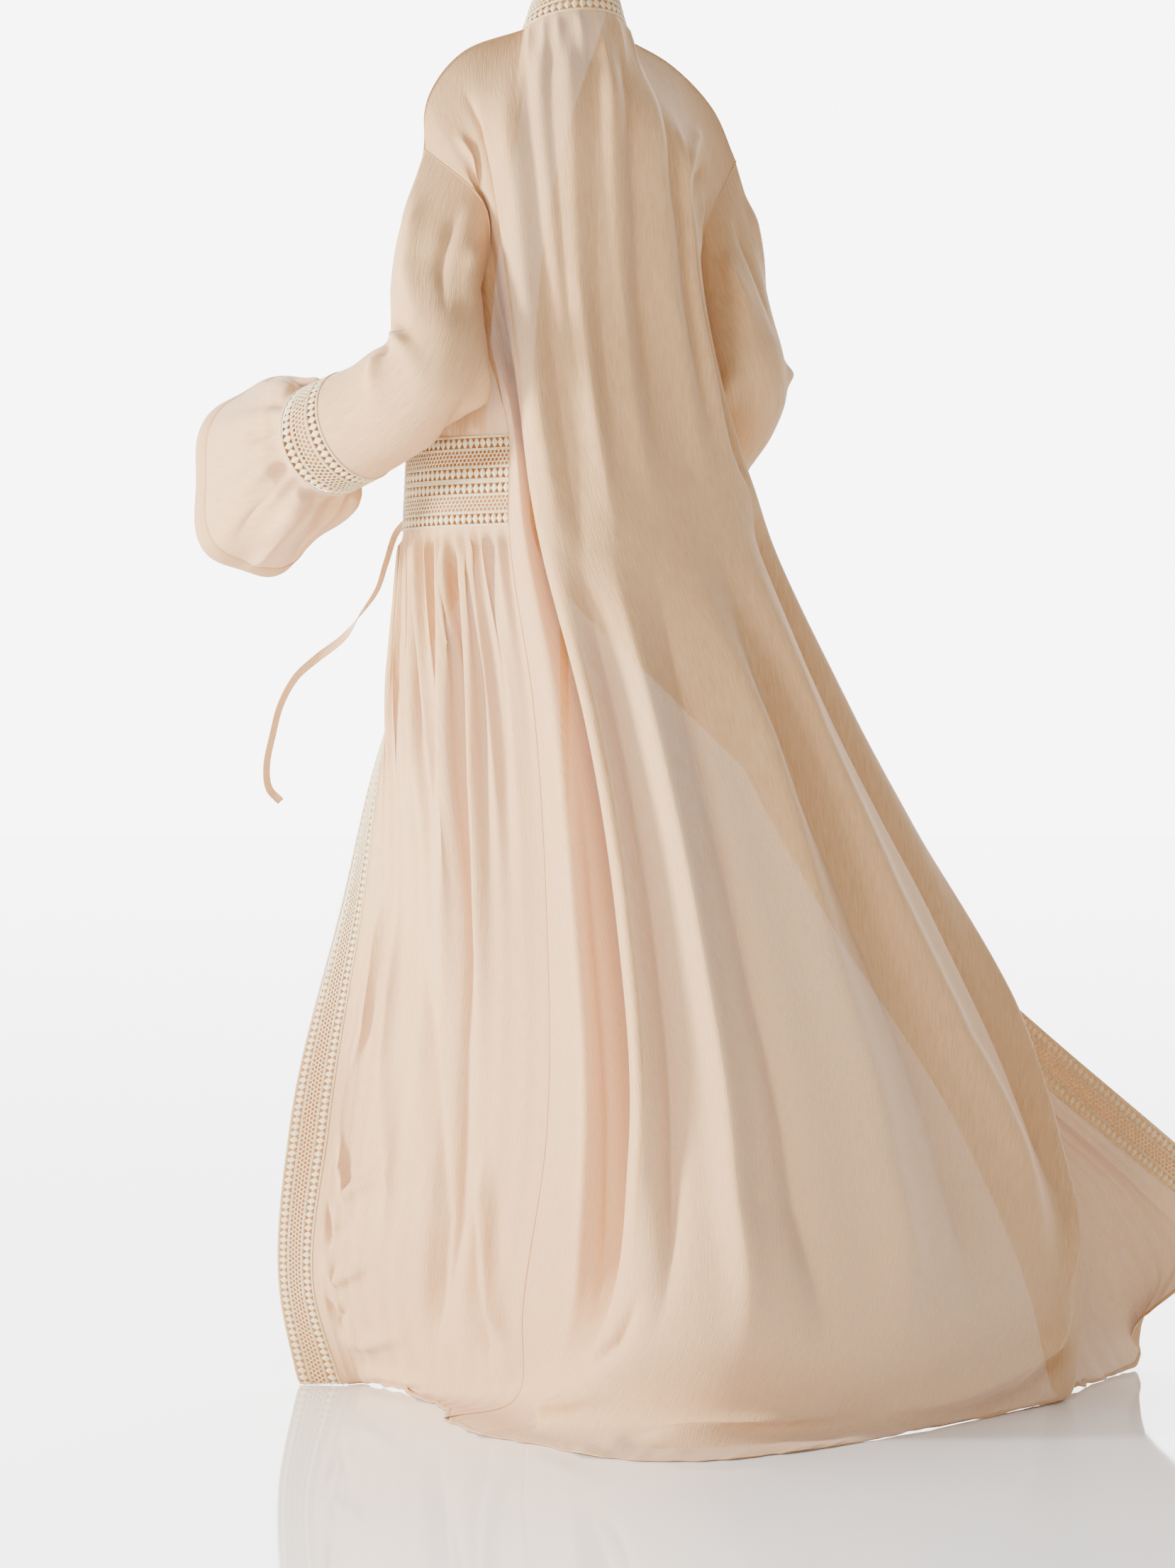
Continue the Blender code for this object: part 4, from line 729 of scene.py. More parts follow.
def gathered(grid, sign, side):
    """Push a skirt out and in as its solid is, with finer gathers near the lace that soon die out."""
    rows, columns = grid.shape[:2]
    shares = np.linspace(0, 1, columns)
    down = np.linspace(0, 1, rows)
    spacing = np.linalg.norm(np.gradient(grid, axis=1), axis=2) * (columns - 1) / SKIRT_COLUMNS
    rng = random.Random(GATHER_SEED)
    strength = np.array([rng.uniform(*GATHER_STRENGTH) for _ in range(SKIRT_COLUMNS + 1)])
    strength[[0, -1]] = 0.0
    strengths = np.interp(shares * SKIRT_COLUMNS, np.arange(SKIRT_COLUMNS + 1), strength)
    wave = np.cos(math.pi * SKIRT_COLUMNS * shares) * strengths
    profile = np.minimum(down / GATHER_START, 1.0) * (1 - GATHER_SOFTEN * smooth(down / GATHER_SOFTEN_BY))
    rng = random.Random(FINE_SEED[side])
    knots = np.linspace(0, 1, FINE_GATHERS + 1)
    shifts = [rng.uniform(-FINE_SHIFT, FINE_SHIFT) for _ in range(FINE_GATHERS - 1)]
    knots[1:-1] += np.array(shifts) / FINE_GATHERS
    fine = np.array([rng.uniform(*FINE_STRENGTH) * (-1) ** index for index in range(FINE_GATHERS + 1)])
    fine[[0, -1]] = 0.0
    fine_profile = smooth(down / FINE_START) * np.exp(-((down / FINE_LENGTH) ** FINE_FADE))
    depth = GATHER_DEPTH * profile[:, None] * wave
    depth = depth + FINE_DEPTH * fine_profile[:, None] * through(knots, fine, shares)
    return grid + normals_of(grid, sign) * (spacing * depth)[..., None]


class Cloth:
    """A piece's surface: points, the flat place of each in metres, whether it closes round."""

    def __init__(self, grid, sign, around=False):
        self.grid = np.array(grid, float)
        self.sign = sign
        self.around = around
        ring = self.ring()
        steps = np.linalg.norm(np.diff(ring, axis=1), axis=2)
        lengths = np.concatenate([np.zeros((len(ring), 1)), np.cumsum(steps, axis=1)], axis=1)
        self.widths = lengths[:, -1]
        middle = 0 if around else ring.shape[1] // 2
        self.across = lengths - lengths[:, middle:middle + 1]
        down = np.linalg.norm(np.diff(self.grid, axis=0), axis=2).mean(axis=1)
        self.down = np.concatenate([[0.0], np.cumsum(down)])

    def ring(self):
        """The points, with a tube's first column again at the end."""
        return np.concatenate([self.grid, self.grid[:, :1]], axis=1) if self.around else self.grid

    def normals(self):
        return normals_of(self.grid, self.sign, self.around)

    def edge(self, rows_up):
        """The foot's points, their normals and the points some rows up, closed round for a tube."""
        lines = self.grid[-1], self.normals()[-1], self.grid[-rows_up]
        return [closed(line) for line in lines] if self.around else lines

    def area(self):
        """Area of the cloth as it hangs."""
        ring = self.ring()
        one = np.cross(ring[1:, 1:] - ring[:-1, :-1], ring[1:, :-1] - ring[:-1, 1:])
        return float(np.linalg.norm(one, axis=2).sum() / 2)


def press(cloth, folds, path, margins=(1, 1, 1, 1)):
    """Press folds into a surface, leaving the sides named in margins (top, foot, first, last) as they are."""

    def nearest(turn):
        return (turn + 0.5) % 1.0 - 0.5 if cloth.around else turn

    rows, columns = cloth.grid.shape[:2]
    shares = np.linspace(0, 1, columns, endpoint=not cloth.around)
    places = cloth.down[:, None]
    widths = cloth.widths[:, None]
    height = np.zeros((rows, columns))
    for line, half_width, rise, fade_in, fade_out in folds:
        marks = [(share, np.interp(place, path, cloth.down)) for share, place in line]
        pieces = [math.hypot((b[0] - a[0]) * widths.mean(), b[1] - a[1]) for a, b in zip(marks, marks[1:])]
        best = np.full((rows, columns), np.inf)
        along = np.zeros((rows, columns))
        gone = 0.0
        for a, b, length in zip(marks, marks[1:], pieces):
            px = nearest(shares - a[0]) * widths
            py = places - a[1]
            dx = nearest(b[0] - a[0]) * widths
            dy = b[1] - a[1]
            share = np.clip((px * dx + py * dy) / np.maximum(dx * dx + dy * dy, 1e-12), 0, 1)
            distance = np.hypot(px - share * dx, py - share * dy)
            along = np.where(distance < best, (gone + share * length) / sum(pieces), along)
            best = np.minimum(distance, best)
            gone += length
        # A ridge is round, and a valley comes to a sharper line
        weight = np.exp(-((best / half_width) ** (RIDGE_POWER if rise > 0 else VALLEY_POWER)))
        if fade_in:
            weight = weight * smooth(along / fade_in)
        if fade_out:
            weight = weight * smooth((1 - along) / fade_out)
        height += rise * weight
    across = shares * widths
    for kept, distance in zip(margins, (places, places[-1] - places, across, widths - across)):
        if kept:
            height *= smooth(distance / SEAM_MARGIN)
    scale = bpy.context.scene.abaya_looks.fold_scale
    cloth.grid = cloth.grid + cloth.normals() * (height * scale)[..., None]
    return cloth


def add_node(tree, kind, settings=None, inputs=None):
    """A node with its settings, and its inputs set to values or linked to sockets."""
    node = tree.nodes.new(kind)
    for name, value in (settings or {}).items():
        setattr(node, name, value)
    for name, value in (inputs or {}).items():
        if isinstance(value, bpy.types.NodeSocket):
            tree.links.new(value, node.inputs[name])
        else:
            node.inputs[name].default_value = value
    return node


def on_flat(tree, kind, cells, inputs, turn=0.0):
    """A pattern over the cloth's flat places, with its cells for each metre across and along."""
    flat = add_node(tree, "ShaderNodeUVMap", {"uv_map": "Flat"})
    place = add_node(tree, "ShaderNodeMapping", {}, {
        "Vector": flat.outputs[0], "Rotation": (0.0, 0.0, turn), "Scale": (*cells, 1.0)})
    return add_node(tree, kind, {}, {"Vector": place.outputs[0], "Scale": 1.0, **inputs})


def toned(base, *factors):
    """The colour with its channels scaled, for a colour socket."""
    return (*(min(value * factor, 1.0) for value, factor in zip(base, factors)), 1.0)


def sewn_surface(tree, colours, height, relief, surface, glow=0.0, glow_relief=False):
    """Cloth or thread with its colours (share of the second, first, second), its relief (strength and
    distance) and the share of light that comes through it."""
    colour = add_node(tree, "ShaderNodeMix", {"data_type": "RGBA"}, {
        "Factor": colours[0], "A": colours[1], "B": colours[2]}).outputs["Result"]
    bump = add_node(tree, "ShaderNodeBump", {}, {
        "Height": height, "Strength": relief[0], "Distance": relief[1]}).outputs[0]
    shader = add_node(tree, "ShaderNodeBsdfPrincipled", {}, {
        "Base Color": colour, "Normal": bump, **surface}).outputs[0]
    if not glow:
        return shader
    lit = add_node(tree, "ShaderNodeBsdfTranslucent", {}, {
        "Color": colour, **({"Normal": bump} if glow_relief else {})})
    return add_node(tree, "ShaderNodeMixShader", {}, {0: glow, 1: shader, 2: lit.outputs[0]}).outputs[0]


def crepe_surface(tree, looks):
    """Polyester crepe georgette: twisted yarns crinkle it in fine lines down the grain, so it looks matt,
    softly grained and a little sheer, and lets light from behind glow through."""
    # Crinkles 1.6 mm apart and about 25 mm long, and yarns 0.5 mm apart drawn at 0.9 mm so that they show
    crinkle = on_flat(tree, "ShaderNodeTexNoise", (620.0, 42.0), {
        "Detail": 3.0, "Roughness": 0.6, "Distortion": 0.4})
    yarn = on_flat(tree, "ShaderNodeTexNoise", (1100.0, 900.0), {"Detail": 1.0, "Roughness": 0.5})
    cloud = on_flat(tree, "ShaderNodeTexNoise", (9.0, 3.0), {"Detail": 2.0, "Roughness": 0.5})
    heights = add_node(tree, "ShaderNodeMath", {"operation": "MULTIPLY_ADD"}, {
        0: yarn.outputs["Fac"], 1: 0.35, 2: crinkle.outputs["Fac"]}).outputs[0]
    # Painted shade and painted light over the yarn's own tone: the colour is darker in the crinkles' and
    # yarns' low places and lighter on their crests, following the relief
    shade = add_node(tree, "ShaderNodeMapRange", {}, {"Value": heights, "From Min": 0.40, "From Max": 0.95})
    base = looks.crepe_colour
    tint = add_node(tree, "ShaderNodeMix", {"data_type": "RGBA"}, {
        "Factor": shade.outputs[0], "A": toned(base, 0.80, 0.75, 0.70),
        "B": toned(base, 1.07, 1.08, 1.09)}).outputs["Result"]
    clouds = add_node(tree, "ShaderNodeMapRange", {}, {
        "Value": cloud.outputs["Fac"], "From Min": 0.35, "From Max": 0.70, "To Max": 0.35})
    colours = (clouds.outputs[0], tint, toned(base, 1.0, 0.95, 0.90))
    cloth = sewn_surface(tree, colours, heights, (0.7, 0.0009), {
        "Roughness": 0.78, "IOR": 1.5, "Specular IOR Level": 0.25, "Sheen Weight": 0.15,
        "Sheen Roughness": 0.5}, 0.055, True)
    # The gaps between yarns, which let a little of what lies behind show through
    gaps = add_node(tree, "ShaderNodeMapRange", {}, {
        "Value": heights, "From Min": 0.40, "From Max": 0.95,
        "To Min": looks.crepe_cover - 0.02, "To Max": 1.0})
    clear = add_node(tree, "ShaderNodeBsdfTransparent")
    return add_node(tree, "ShaderNodeMixShader", {}, {
        0: gaps.outputs[0], 1: clear.outputs[0], 2: cloth}).outputs[0]


def hem_surface(tree, looks, shade=1.0):
    """Crepe turned over twice and stitched: three layers, so it is fuller in colour and isn't sheer."""
    grain = on_flat(tree, "ShaderNodeTexNoise", (620.0, 120.0), {
        "Detail": 3.0, "Roughness": 0.6}).outputs["Fac"]
    # A shade under 1 is painted shade, used for the facing behind the lace; the hem itself keeps 1
    base = toned(looks.crepe_colour, shade, shade ** 2, shade ** 3)
    colours = (grain, toned(base, 1.02, 1.02, 1.02), toned(base, 1.12, 1.14, 1.16))
    return sewn_surface(tree, colours, grain, (0.5, 0.0005), {
        "Roughness": 0.8, "IOR": 1.5, "Specular IOR Level": 0.25, "Sheen Weight": 0.15}, 0.25)


def shaded_facing_surface(tree, looks):
    """The same crepe behind the lace, darkened by FACING_SHADE as painted shade of the threads over it, so it
    is a deeper tan.
    """
    return hem_surface(tree, looks, FACING_SHADE)


def lace_surface(tree, looks):
    """Mercerised cotton crochet: plied thread worked in loops, so each cord looks knobbly and slightly
    glossy, and the hollows between its plies are painted darker as painted shade."""
    # Loops 1.3 mm long and plies 0.5 mm apart
    loops = on_flat(tree, "ShaderNodeTexVoronoi", (760.0, 760.0), {})
    plies = on_flat(tree, "ShaderNodeTexNoise", (2000.0, 2000.0), {"Detail": 2.0, "Roughness": 0.6})
    heights = add_node(tree, "ShaderNodeMath", {"operation": "MULTIPLY_ADD"}, {
        0: loops.outputs["Distance"], 1: -0.8, 2: plies.outputs["Fac"]}).outputs[0]
    # Painted shade: the thread's colour is darker towards the low places of the loops and plies
    shade = add_node(tree, "ShaderNodeMapRange", {}, {"Value": heights, "From Min": -0.25, "From Max": 0.45})
    base = looks.lace_colour
    colours = (shade.outputs[0], toned(base, 0.70, 0.66, 0.60), toned(base, 1.06, 1.05, 1.05))
    return sewn_surface(tree, colours, heights, (0.7, 0.0005), {
        "Roughness": 0.62, "IOR": 1.53, "Specular IOR Level": 0.35, "Sheen Weight": 0.2}, 0.15)


def ribbon_surface(tree, looks):
    """Bias cut crepe folded and stitched into a flat tape, with a soft sheen on its folded edges."""
    grain = on_flat(tree, "ShaderNodeTexNoise", (900.0, 300.0), {
        "Detail": 2.0, "Roughness": 0.6}, math.radians(45.0)).outputs["Fac"]
    base = looks.crepe_colour
    colours = (grain, toned(base, 0.95, 0.95, 0.95), toned(base, 1.08, 1.10, 1.15))
    return sewn_surface(tree, colours, grain, (0.4, 0.0004), {
        "Roughness": 0.55, "IOR": 1.5, "Specular IOR Level": 0.4, "Sheen Weight": 0.25})


def floor_surface(tree, _):
    """Gloss white acrylic sheet: moulded smooth, so it mirrors the cloth softly."""
    return add_node(tree, "ShaderNodeBsdfPrincipled", {}, {
        "Base Color": (*linear("#F4F4F4"), 1.0), "Roughness": 0.05, "IOR": 1.49}).outputs[0]


FINISHES = {
    "crepe": ("crinkled_crepe_georgette", crepe_surface),
    "hem": ("turned_crepe_hem", hem_surface),
    "facing": ("crepe_facing_painted_shade", shaded_facing_surface),
    "lace": ("cotton_crochet_lace", lace_surface),
    "ribbon": ("folded_crepe_tape", ribbon_surface),
    "floor": ("gloss_white_acrylic", floor_surface),
}


def material(finish):
    """The named finish, made once."""
    name, surface = FINISHES[finish]
    made = bpy.data.materials.get(name)
    if made is None:
        made = bpy.data.materials.new(name)
        made.use_nodes = True
        tree = made.node_tree
        tree.nodes.clear()
        output = tree.nodes.new("ShaderNodeOutputMaterial")
        tree.links.new(surface(tree, bpy.context.scene.abaya_looks), output.inputs[0])
    return made


def settled(points):
    """What hangs just over the floor is let down on to it."""
    points = np.array(points, float)
    drop = SETTLE_DROP * smooth((FLOOR + SETTLE_FROM - points[..., 2]) / SETTLE_FROM)
    points[..., 2] = np.maximum(points[..., 2] - drop, FLOOR + LEAST_LIES)
    return points


def add_mesh(name, points, faces, flats, finish, rounded=True):
    """A mesh object that rides on the root, with the flat place of each point as its UV map."""
    mesh = bpy.data.meshes.new(name)
    mesh.from_pydata(settled(points).tolist(), [], faces)
    layer = mesh.uv_layers.new(name="Flat")
    corners = np.empty(len(mesh.loops), np.int32)
    mesh.loops.foreach_get("vertex_index", corners)
    layer.data.foreach_set("uv", np.asarray(flats, np.float32)[corners].ravel())
    mesh.materials.append(material(finish))
    if rounded:
        mesh.shade_smooth()
    made = bpy.data.objects.new(name, mesh)
    bpy.context.scene.collection.objects.link(made)
    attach(made, "root")
    return made


def add_grid(name, grid, flats, finish, lies=LEAST_LIES, turned=False, capped=False):
    """A sheet or tube through rows of points, kept over the floor. flats is its two flat places."""
    rows, columns = grid.shape[:2]
    grid = grid.copy()
    grid[..., 2] = np.maximum(grid[..., 2], FLOOR + lies)
    index = np.arange(rows * columns).reshape(rows, columns)
    quads = np.stack([index[:-1, :-1], index[:-1, 1:], index[1:, 1:], index[1:, :-1]], axis=-1).reshape(-1, 4)
    faces = (quads[:, ::-1] if turned else quads).tolist()
    if capped:
        faces += [index[:-1, 0].tolist(), index[-2::-1, -1].tolist()]
    flats = np.stack(np.broadcast_arrays(*flats), axis=-1)
    return add_mesh(name, grid.reshape(-1, 3), faces, flats.reshape(-1, 2), finish)


def add_cloth(name, cloth, *nodes):
    """The crepe as a thin sheet in the place of its solids. A tube's first and last columns are joined."""
    grid = cloth.ring()
    rows, columns = grid.shape[:2]
    flats = (cloth.across[:, :columns], cloth.down[:, None])
    made = add_grid(name, grid, flats, "crepe", CLOTH_LIES, turned=cloth.sign > 0)
    if cloth.around:
        work = bmesh.new()
        work.from_mesh(made.data)
        work.verts.ensure_lookup_table()
        pairs = {work.verts[row * columns + columns - 1]: work.verts[row * columns] for row in range(rows)}
        bmesh.ops.weld_verts(work, targetmap=pairs)
        work.to_mesh(made.data)
        work.free()
    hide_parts(*nodes)
    return made


def state_cut(made, cloth, held, *pieces):
    """Work out a panel's flat size, from its widest row and its path, and the area that hangs; nothing is
    kept.
    """
    width, length = float(cloth.widths.max()), float(cloth.down[-1])
    min(cloth.area(), width * length)


def fold_and_lay(cloth, folds, path, seed):
    """Press a hanging panel's folds, and lay its hem on the floor in small uneven waves."""
    rest = cloth.grid[..., 2].copy()
    press(cloth, folds, path, (1, 0, 1, 1))
    grid = cloth.grid
    fade = smooth((path - HEM_WAVE_FROM) / (LEVEL_PATH[-1] - HEM_WAVE_FROM))[:, None]
    lying = fade * smooth((FLOOR + HEM_LIES_UNDER - rest[-1]) / HEM_LIES_FADE)
    grid[..., 2] = rest + (grid[..., 2] - rest) * (1 - HEM_FLATTEN * lying)
    rng = random.Random(seed)
    outward = to_unit(grid[-1] - grid[-HEM_ROWS["wave"]])
    lengths = lengths_along(grid[-1])
    wave = np.zeros(len(lengths))
    for period in HEM_WAVE_PERIODS:
        wave += math.sqrt(period / HEM_WAVE_PERIOD) * np.sin(2 * math.pi * (lengths / period + rng.random()))
    grid += outward * (HEM_WAVE * fade * wave)[..., None]
    grid[..., 2] += HEM_LIFT * fade * np.maximum(wave, 0.0)


def add_strip(name, line, outward, inward_line, width, thickness):
    """A turned hem: a flat loop of cloth round an edge. line is the edge, inward_line one up the cloth."""
    up = to_unit(inward_line - line)
    grid = np.stack([line + up * width * share + outward * thickness * lift for share, lift in HEM_SECTION])
    places = np.arange(len(HEM_SECTION))[:, None] * (width * HEM_FLAT_STEP)
    return add_grid(name, grid, (lengths_along(line), places), "hem")


def add_ridge(name, line, outward, radius):
    """A seam's raised line, as a low rounded ridge along a line of points."""
    side = to_unit(np.cross(to_unit(np.gradient(line, axis=0)), outward))
    turns = np.linspace(0, 2 * math.pi, RIDGE_TURNS)
    grid = np.stack([line + side * radius * RIDGE_SPREAD * math.cos(t) + outward * radius * math.sin(t)
                     for t in turns])
    add_grid(name, grid, (lengths_along(line), (turns * radius)[:, None]), "hem")


def add_stitches(name, line, outward, offset_line):
    """Machine stitches along a line, as short threads half let into the cloth."""
    lengths = lengths_along(line)
    count = int(lengths[-1] / STITCH_PITCH)
    points = []
    faces = []
    flats = []
    for start in (np.arange(count) + STITCH_START) * lengths[-1] / count:
        marks = np.array([start, start + STITCH_LENGTH * STITCH_PITCH])
        place, out = (np.stack([np.interp(marks, lengths, source[:, axis]) for axis in range(3)], axis=1)
                      for source in (offset_line, outward))
        side = to_unit(np.cross(place[1] - place[0], out[0]))
        base = len(points)
        for end in (0, 1):
            for wide, high in STITCH_SECTION:
                aside = side * wide * STITCH_HALF_WIDTH
                points.append(place[end] + aside + out[end] * (STITCH_HEIGHT * high))
                flats.append((start, wide * STITCH_FLAT))
        faces.extend([base + corner for corner in face] for face in STITCH_FACES)
    return add_mesh(name, points, faces, flats, "hem", rounded=False)


class Band:
    """A lace band's surface: edges of the band as two lines of points, mapped by length."""

    def __init__(self, grid, sign):
        self.grid = np.array(grid, float)
        self.normals = normals_of(self.grid, sign)
        self.places = lengths_along(self.grid.mean(axis=0))
        self.length = float(self.places[-1])

    def at(self, along, across, height):
        """Points at metres along, share across, and height over the surface."""
        rows, columns = self.grid.shape[:2]
        column = np.interp(along, self.places, np.arange(columns))
        row = np.clip(across, 0, 1) * (rows - 1)
        c0 = np.clip(np.floor(column).astype(int), 0, columns - 2)
        r0 = np.clip(np.floor(row).astype(int), 0, rows - 2)
        fc = (column - c0)[:, None]
        fr = (row - r0)[:, None]
        result = []
        for source in (self.grid, self.normals):
            top = source[r0, c0] * (1 - fc) + source[r0, c0 + 1] * fc
            foot = source[r0 + 1, c0] * (1 - fc) + source[r0 + 1, c0 + 1] * fc
            result.append(top * (1 - fr) + foot * fr)
        return result[0] + to_unit(result[1]) * height[:, None]


def ring_quads(rings, sides):
    """Quads between rings of points that close round."""
    return [(ring * sides + side, ring * sides + (side + 1) % sides,
             (ring + 1) * sides + (side + 1) % sides, (ring + 1) * sides + side)
            for ring in range(rings) for side in range(sides)]


def lace_unit(unit, relief):
    """Points (along, across, height) in metres and faces of one repeat of the lace."""
    points = []
    faces = []

    def add(new_points, new_faces):
        base = len(points)
        points.extend(new_points)
        faces.extend(tuple(base + corner for corner in face) for face in new_faces)

    # Pairs of cords that run on from repeat to repeat
    for middle in (start + CORD_WIDTH * share for start in CORD_PAIRS_AT for share in (0.5, 1.5)):
        marks = [(unit * step / CORD_STEPS, middle + wide * CORD_WIDTH * (1 + CORD_KNOB * (-1) ** step),
                  high * relief) for step in range(CORD_STEPS + 1) for wide, high in CORD_RING]
        add(marks, ring_quads(CORD_STEPS, len(CORD_RING)))
    # Diamonds: worked solid, thick in the middle, touching their neighbours and the cords
    pitch = unit / DIAMONDS
    rim = turned_round(DIAMOND_RIM)
    round_it = 2 * len(rim)
    quads = []
    for a in range(2, 2 + round_it, 2):
        b = 2 + a % round_it
        c, d = a + round_it, b + round_it
        quads += [(0, a, b), (1, b + 1, a + 1), (a, c, d, b),
                  (a + 1, b + 1, d + 1, c + 1), (c, c + 1, d + 1, d)]
    for low, high in DIAMOND_ROWS:
        for number in range(DIAMONDS):
            middle = (pitch * (number + 0.5), (low + high) / 2)
            marks = [(*middle, relief * lift) for lift in DIAMOND_MIDDLE]
            for scale, top, foot in DIAMOND_RINGS:
                for along, across in rim:
                    place = (middle[0] + along * pitch * DIAMOND_LENGTH * scale,
                             middle[1] + across * (high - low) / 2 * scale)
                    marks += [(*place, relief * top), (*place, relief * foot)]
            add(marks, quads)
    # Lattice: rows of round holes, each row shifted by half a hole, between threads
    hole_pitch = unit / LATTICE_HOLES
    row_pitch = (LATTICE[1] - LATTICE[0]) / LATTICE_ROWS
    turns = [math.pi * (1 / 6 + index / 3) for index in range(LATTICE_SIDES)]
    for row in range(LATTICE_ROWS):
        for hole in range(LATTICE_HOLES):
            along = hole_pitch * (hole + 0.25 + 0.5 * (row % 2))
            across = LATTICE[0] + row_pitch * (row + 0.5)
            marks = [(along + math.cos(turn) * hole_pitch / math.sqrt(3) * scale,
                      across + math.sin(turn) * row_pitch / 1.5 * scale, relief * high)
                     for scale, high in HOLE_RINGS for turn in turns]
            add(marks, ring_quads(len(HOLE_RINGS) - 1, LATTICE_SIDES))
    return np.array(points), faces


def add_facing(name, band):
    """Crepe facing behind a lace band, which shows in the lace's gaps."""
    along = np.linspace(0, band.length, band.grid.shape[1])
    shares = np.linspace(*FACING_EDGES, FACING_ROWS)
    depth = np.full(len(along), -FACING_DEPTH)
    grid = np.stack([band.at(along, np.full(len(along), share), depth) for share in shares])
    grid[..., 2] = np.maximum(grid[..., 2], FLOOR + FACING_LIES)
    width = float(np.linalg.norm(np.diff(grid, axis=0), axis=2).sum(axis=0).mean())
    made = add_grid(name, grid, ((shares * width)[:, None], along), "facing")


def add_trim(node, grid, sign, stacked=1, name=None):
    """A lace piece of one band or of two stacked ones, in the place of its solid, with its facing."""
    band = Band(grid, sign)
    repeats = max(round(band.length / REPEAT), 1)
    unit = band.length / repeats
    pattern, unit_faces = lace_unit(unit, bpy.context.scene.abaya_looks.thread_height)
    points = []
    faces = []
    flats = []
    for low in np.arange(stacked) / stacked:
        for repeat in range(repeats):
            base = len(points) * len(pattern)
            along = np.clip(pattern[:, 0] + repeat * unit, 0, band.length)
            points.append(band.at(along, low + pattern[:, 1] / LACE_WIDTH / stacked, pattern[:, 2]))
            flats.append(np.stack([along, pattern[:, 1] + low], axis=1))
            faces.extend([base + corner for corner in face] for face in unit_faces)
    made = add_mesh(name or node + "_crochet", np.concatenate(points), faces, np.concatenate(flats), "lace")
    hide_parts(node)
    add_facing(node.replace("lace", "facing"), band)


def armhole(side, count):
    """Points round an armhole: from the shoulder down the back edge, up the front edge."""
    steps = np.arange(count) * 2 * ARMHOLE_STEPS / count
    down = np.interp(np.minimum(steps, 2 * ARMHOLE_STEPS - steps), np.arange(ARMHOLE_STEPS + 1), ARMHOLE_PATH)
    front = front_points(side, np.array([0.0, 1.0]), down)[0][:, 0]
    return np.where((steps <= ARMHOLE_STEPS)[:, None], back_column(SEAM_COLUMN[side], down), front)


def ring_points(middle, along, out, half_width, half_height, count):
    """Points on an oval ring square to its path, from the out side first towards the back."""
    behind = to_unit(np.cross(out, along))
    turns = np.arange(count) * 2 * math.pi / count
    return np.array([middle + out * half_width * math.cos(t) + behind * half_height * math.sin(t)
                     for t in turns])


def arm_frames(side, loop_middle):
    """Middle, direction and out direction of each ring of a sleeve, its cuff and its bell."""
    rows = (*SLEEVE[side], CUFF_END[side], BELL_HEM[side])
    middles = [loop_middle] + [np.array(row[:3]) for row in rows]
    out = np.array((float(HAND[side]), 0.0, ARM_OUT_TILT))
    alongs = to_unit(np.gradient(np.array(middles), axis=0))
    for _ in range(BEND_PASSES):
        alongs[1:-3] = (alongs[:-4] + 2 * alongs[1:-3] + alongs[2:-2]) / 4
    frames = []
    for middle, along in zip(middles, to_unit(alongs)):
        out = to_unit(out - along * np.dot(out, along))
        frames.append((middle, along, out))
    return frames


def sleeve_rings(side, count):
    """Rings of the sleeve and of the cuff lace's end, with the frames of the arm."""
    loop = armhole(side, count)
    loop_middle = loop[::count // (2 * ARMHOLE_STEPS)].mean(axis=0)
    frames = arm_frames(side, loop_middle)
    rings = [loop]
    for row, (middle, along, out) in zip((*SLEEVE[side], (*CUFF_END[side], 0.0)), frames[1:]):
        ring = ring_points(middle, along * HAND[side], out, row[3], row[4], count)
        rings.append(ring * (1 - row[5]) + (loop - loop_middle + middle) * row[5])
    return np.array(rings[:-1]), rings[-1], frames


def bell_rings(side, rings, count):
    """Rings of the bell, from the lace to its hem, gathered and waved."""
    _, cuff_end, frames = sleeve_rings(side, count)
    middle, along, out = frames[-2]
    hem_middle, hem_along, _ = frames[-1]
    end = np.array(CUFF_END[side][3:])
    hem = np.array(BELL_HEM[side][3:])
    columns = np.arange(count) * BELL_COLUMNS / count
    rng = random.Random(BELL_SEED[side])
    uneven = closed(np.array([rng.uniform(*BELL_STRENGTH) for _ in range(BELL_COLUMNS)]))
    gathers = np.cos(math.pi * columns) * np.interp(columns, np.arange(BELL_COLUMNS + 1), uneven)
    waves = np.cos(2 * math.pi * BELL_WAVES * columns / BELL_COLUMNS + BELL_WAVE_TURN)
    bell = []
    for share in np.linspace(0, 1, rings + 1):
        half_width, half_height = end + (hem - end) * share ** BELL_SWELL_POWER
        centre = middle + (hem_middle - middle) * share
        lean = to_unit(along * (1 - share) + hem_along * share) * HAND[side]
        blend = smooth(share / BELL_GATHER_START)
        ring = ring_points(centre, lean, out, half_width, half_height, count) * blend
        ring = ring + (cuff_end + (centre - middle)) * (1 - blend)
        fade = min(share / (BELL_GATHER_RISE * BELL_GATHER_START), 1.0) * (1 - share) ** BELL_GATHER_FADE
        push = gathers * BELL_GATHER_DEPTH * fade + waves * BELL_WAVE_DEPTH * share
        bell.append(ring + to_unit(ring - centre) * push[:, None])
    return np.array(bell)


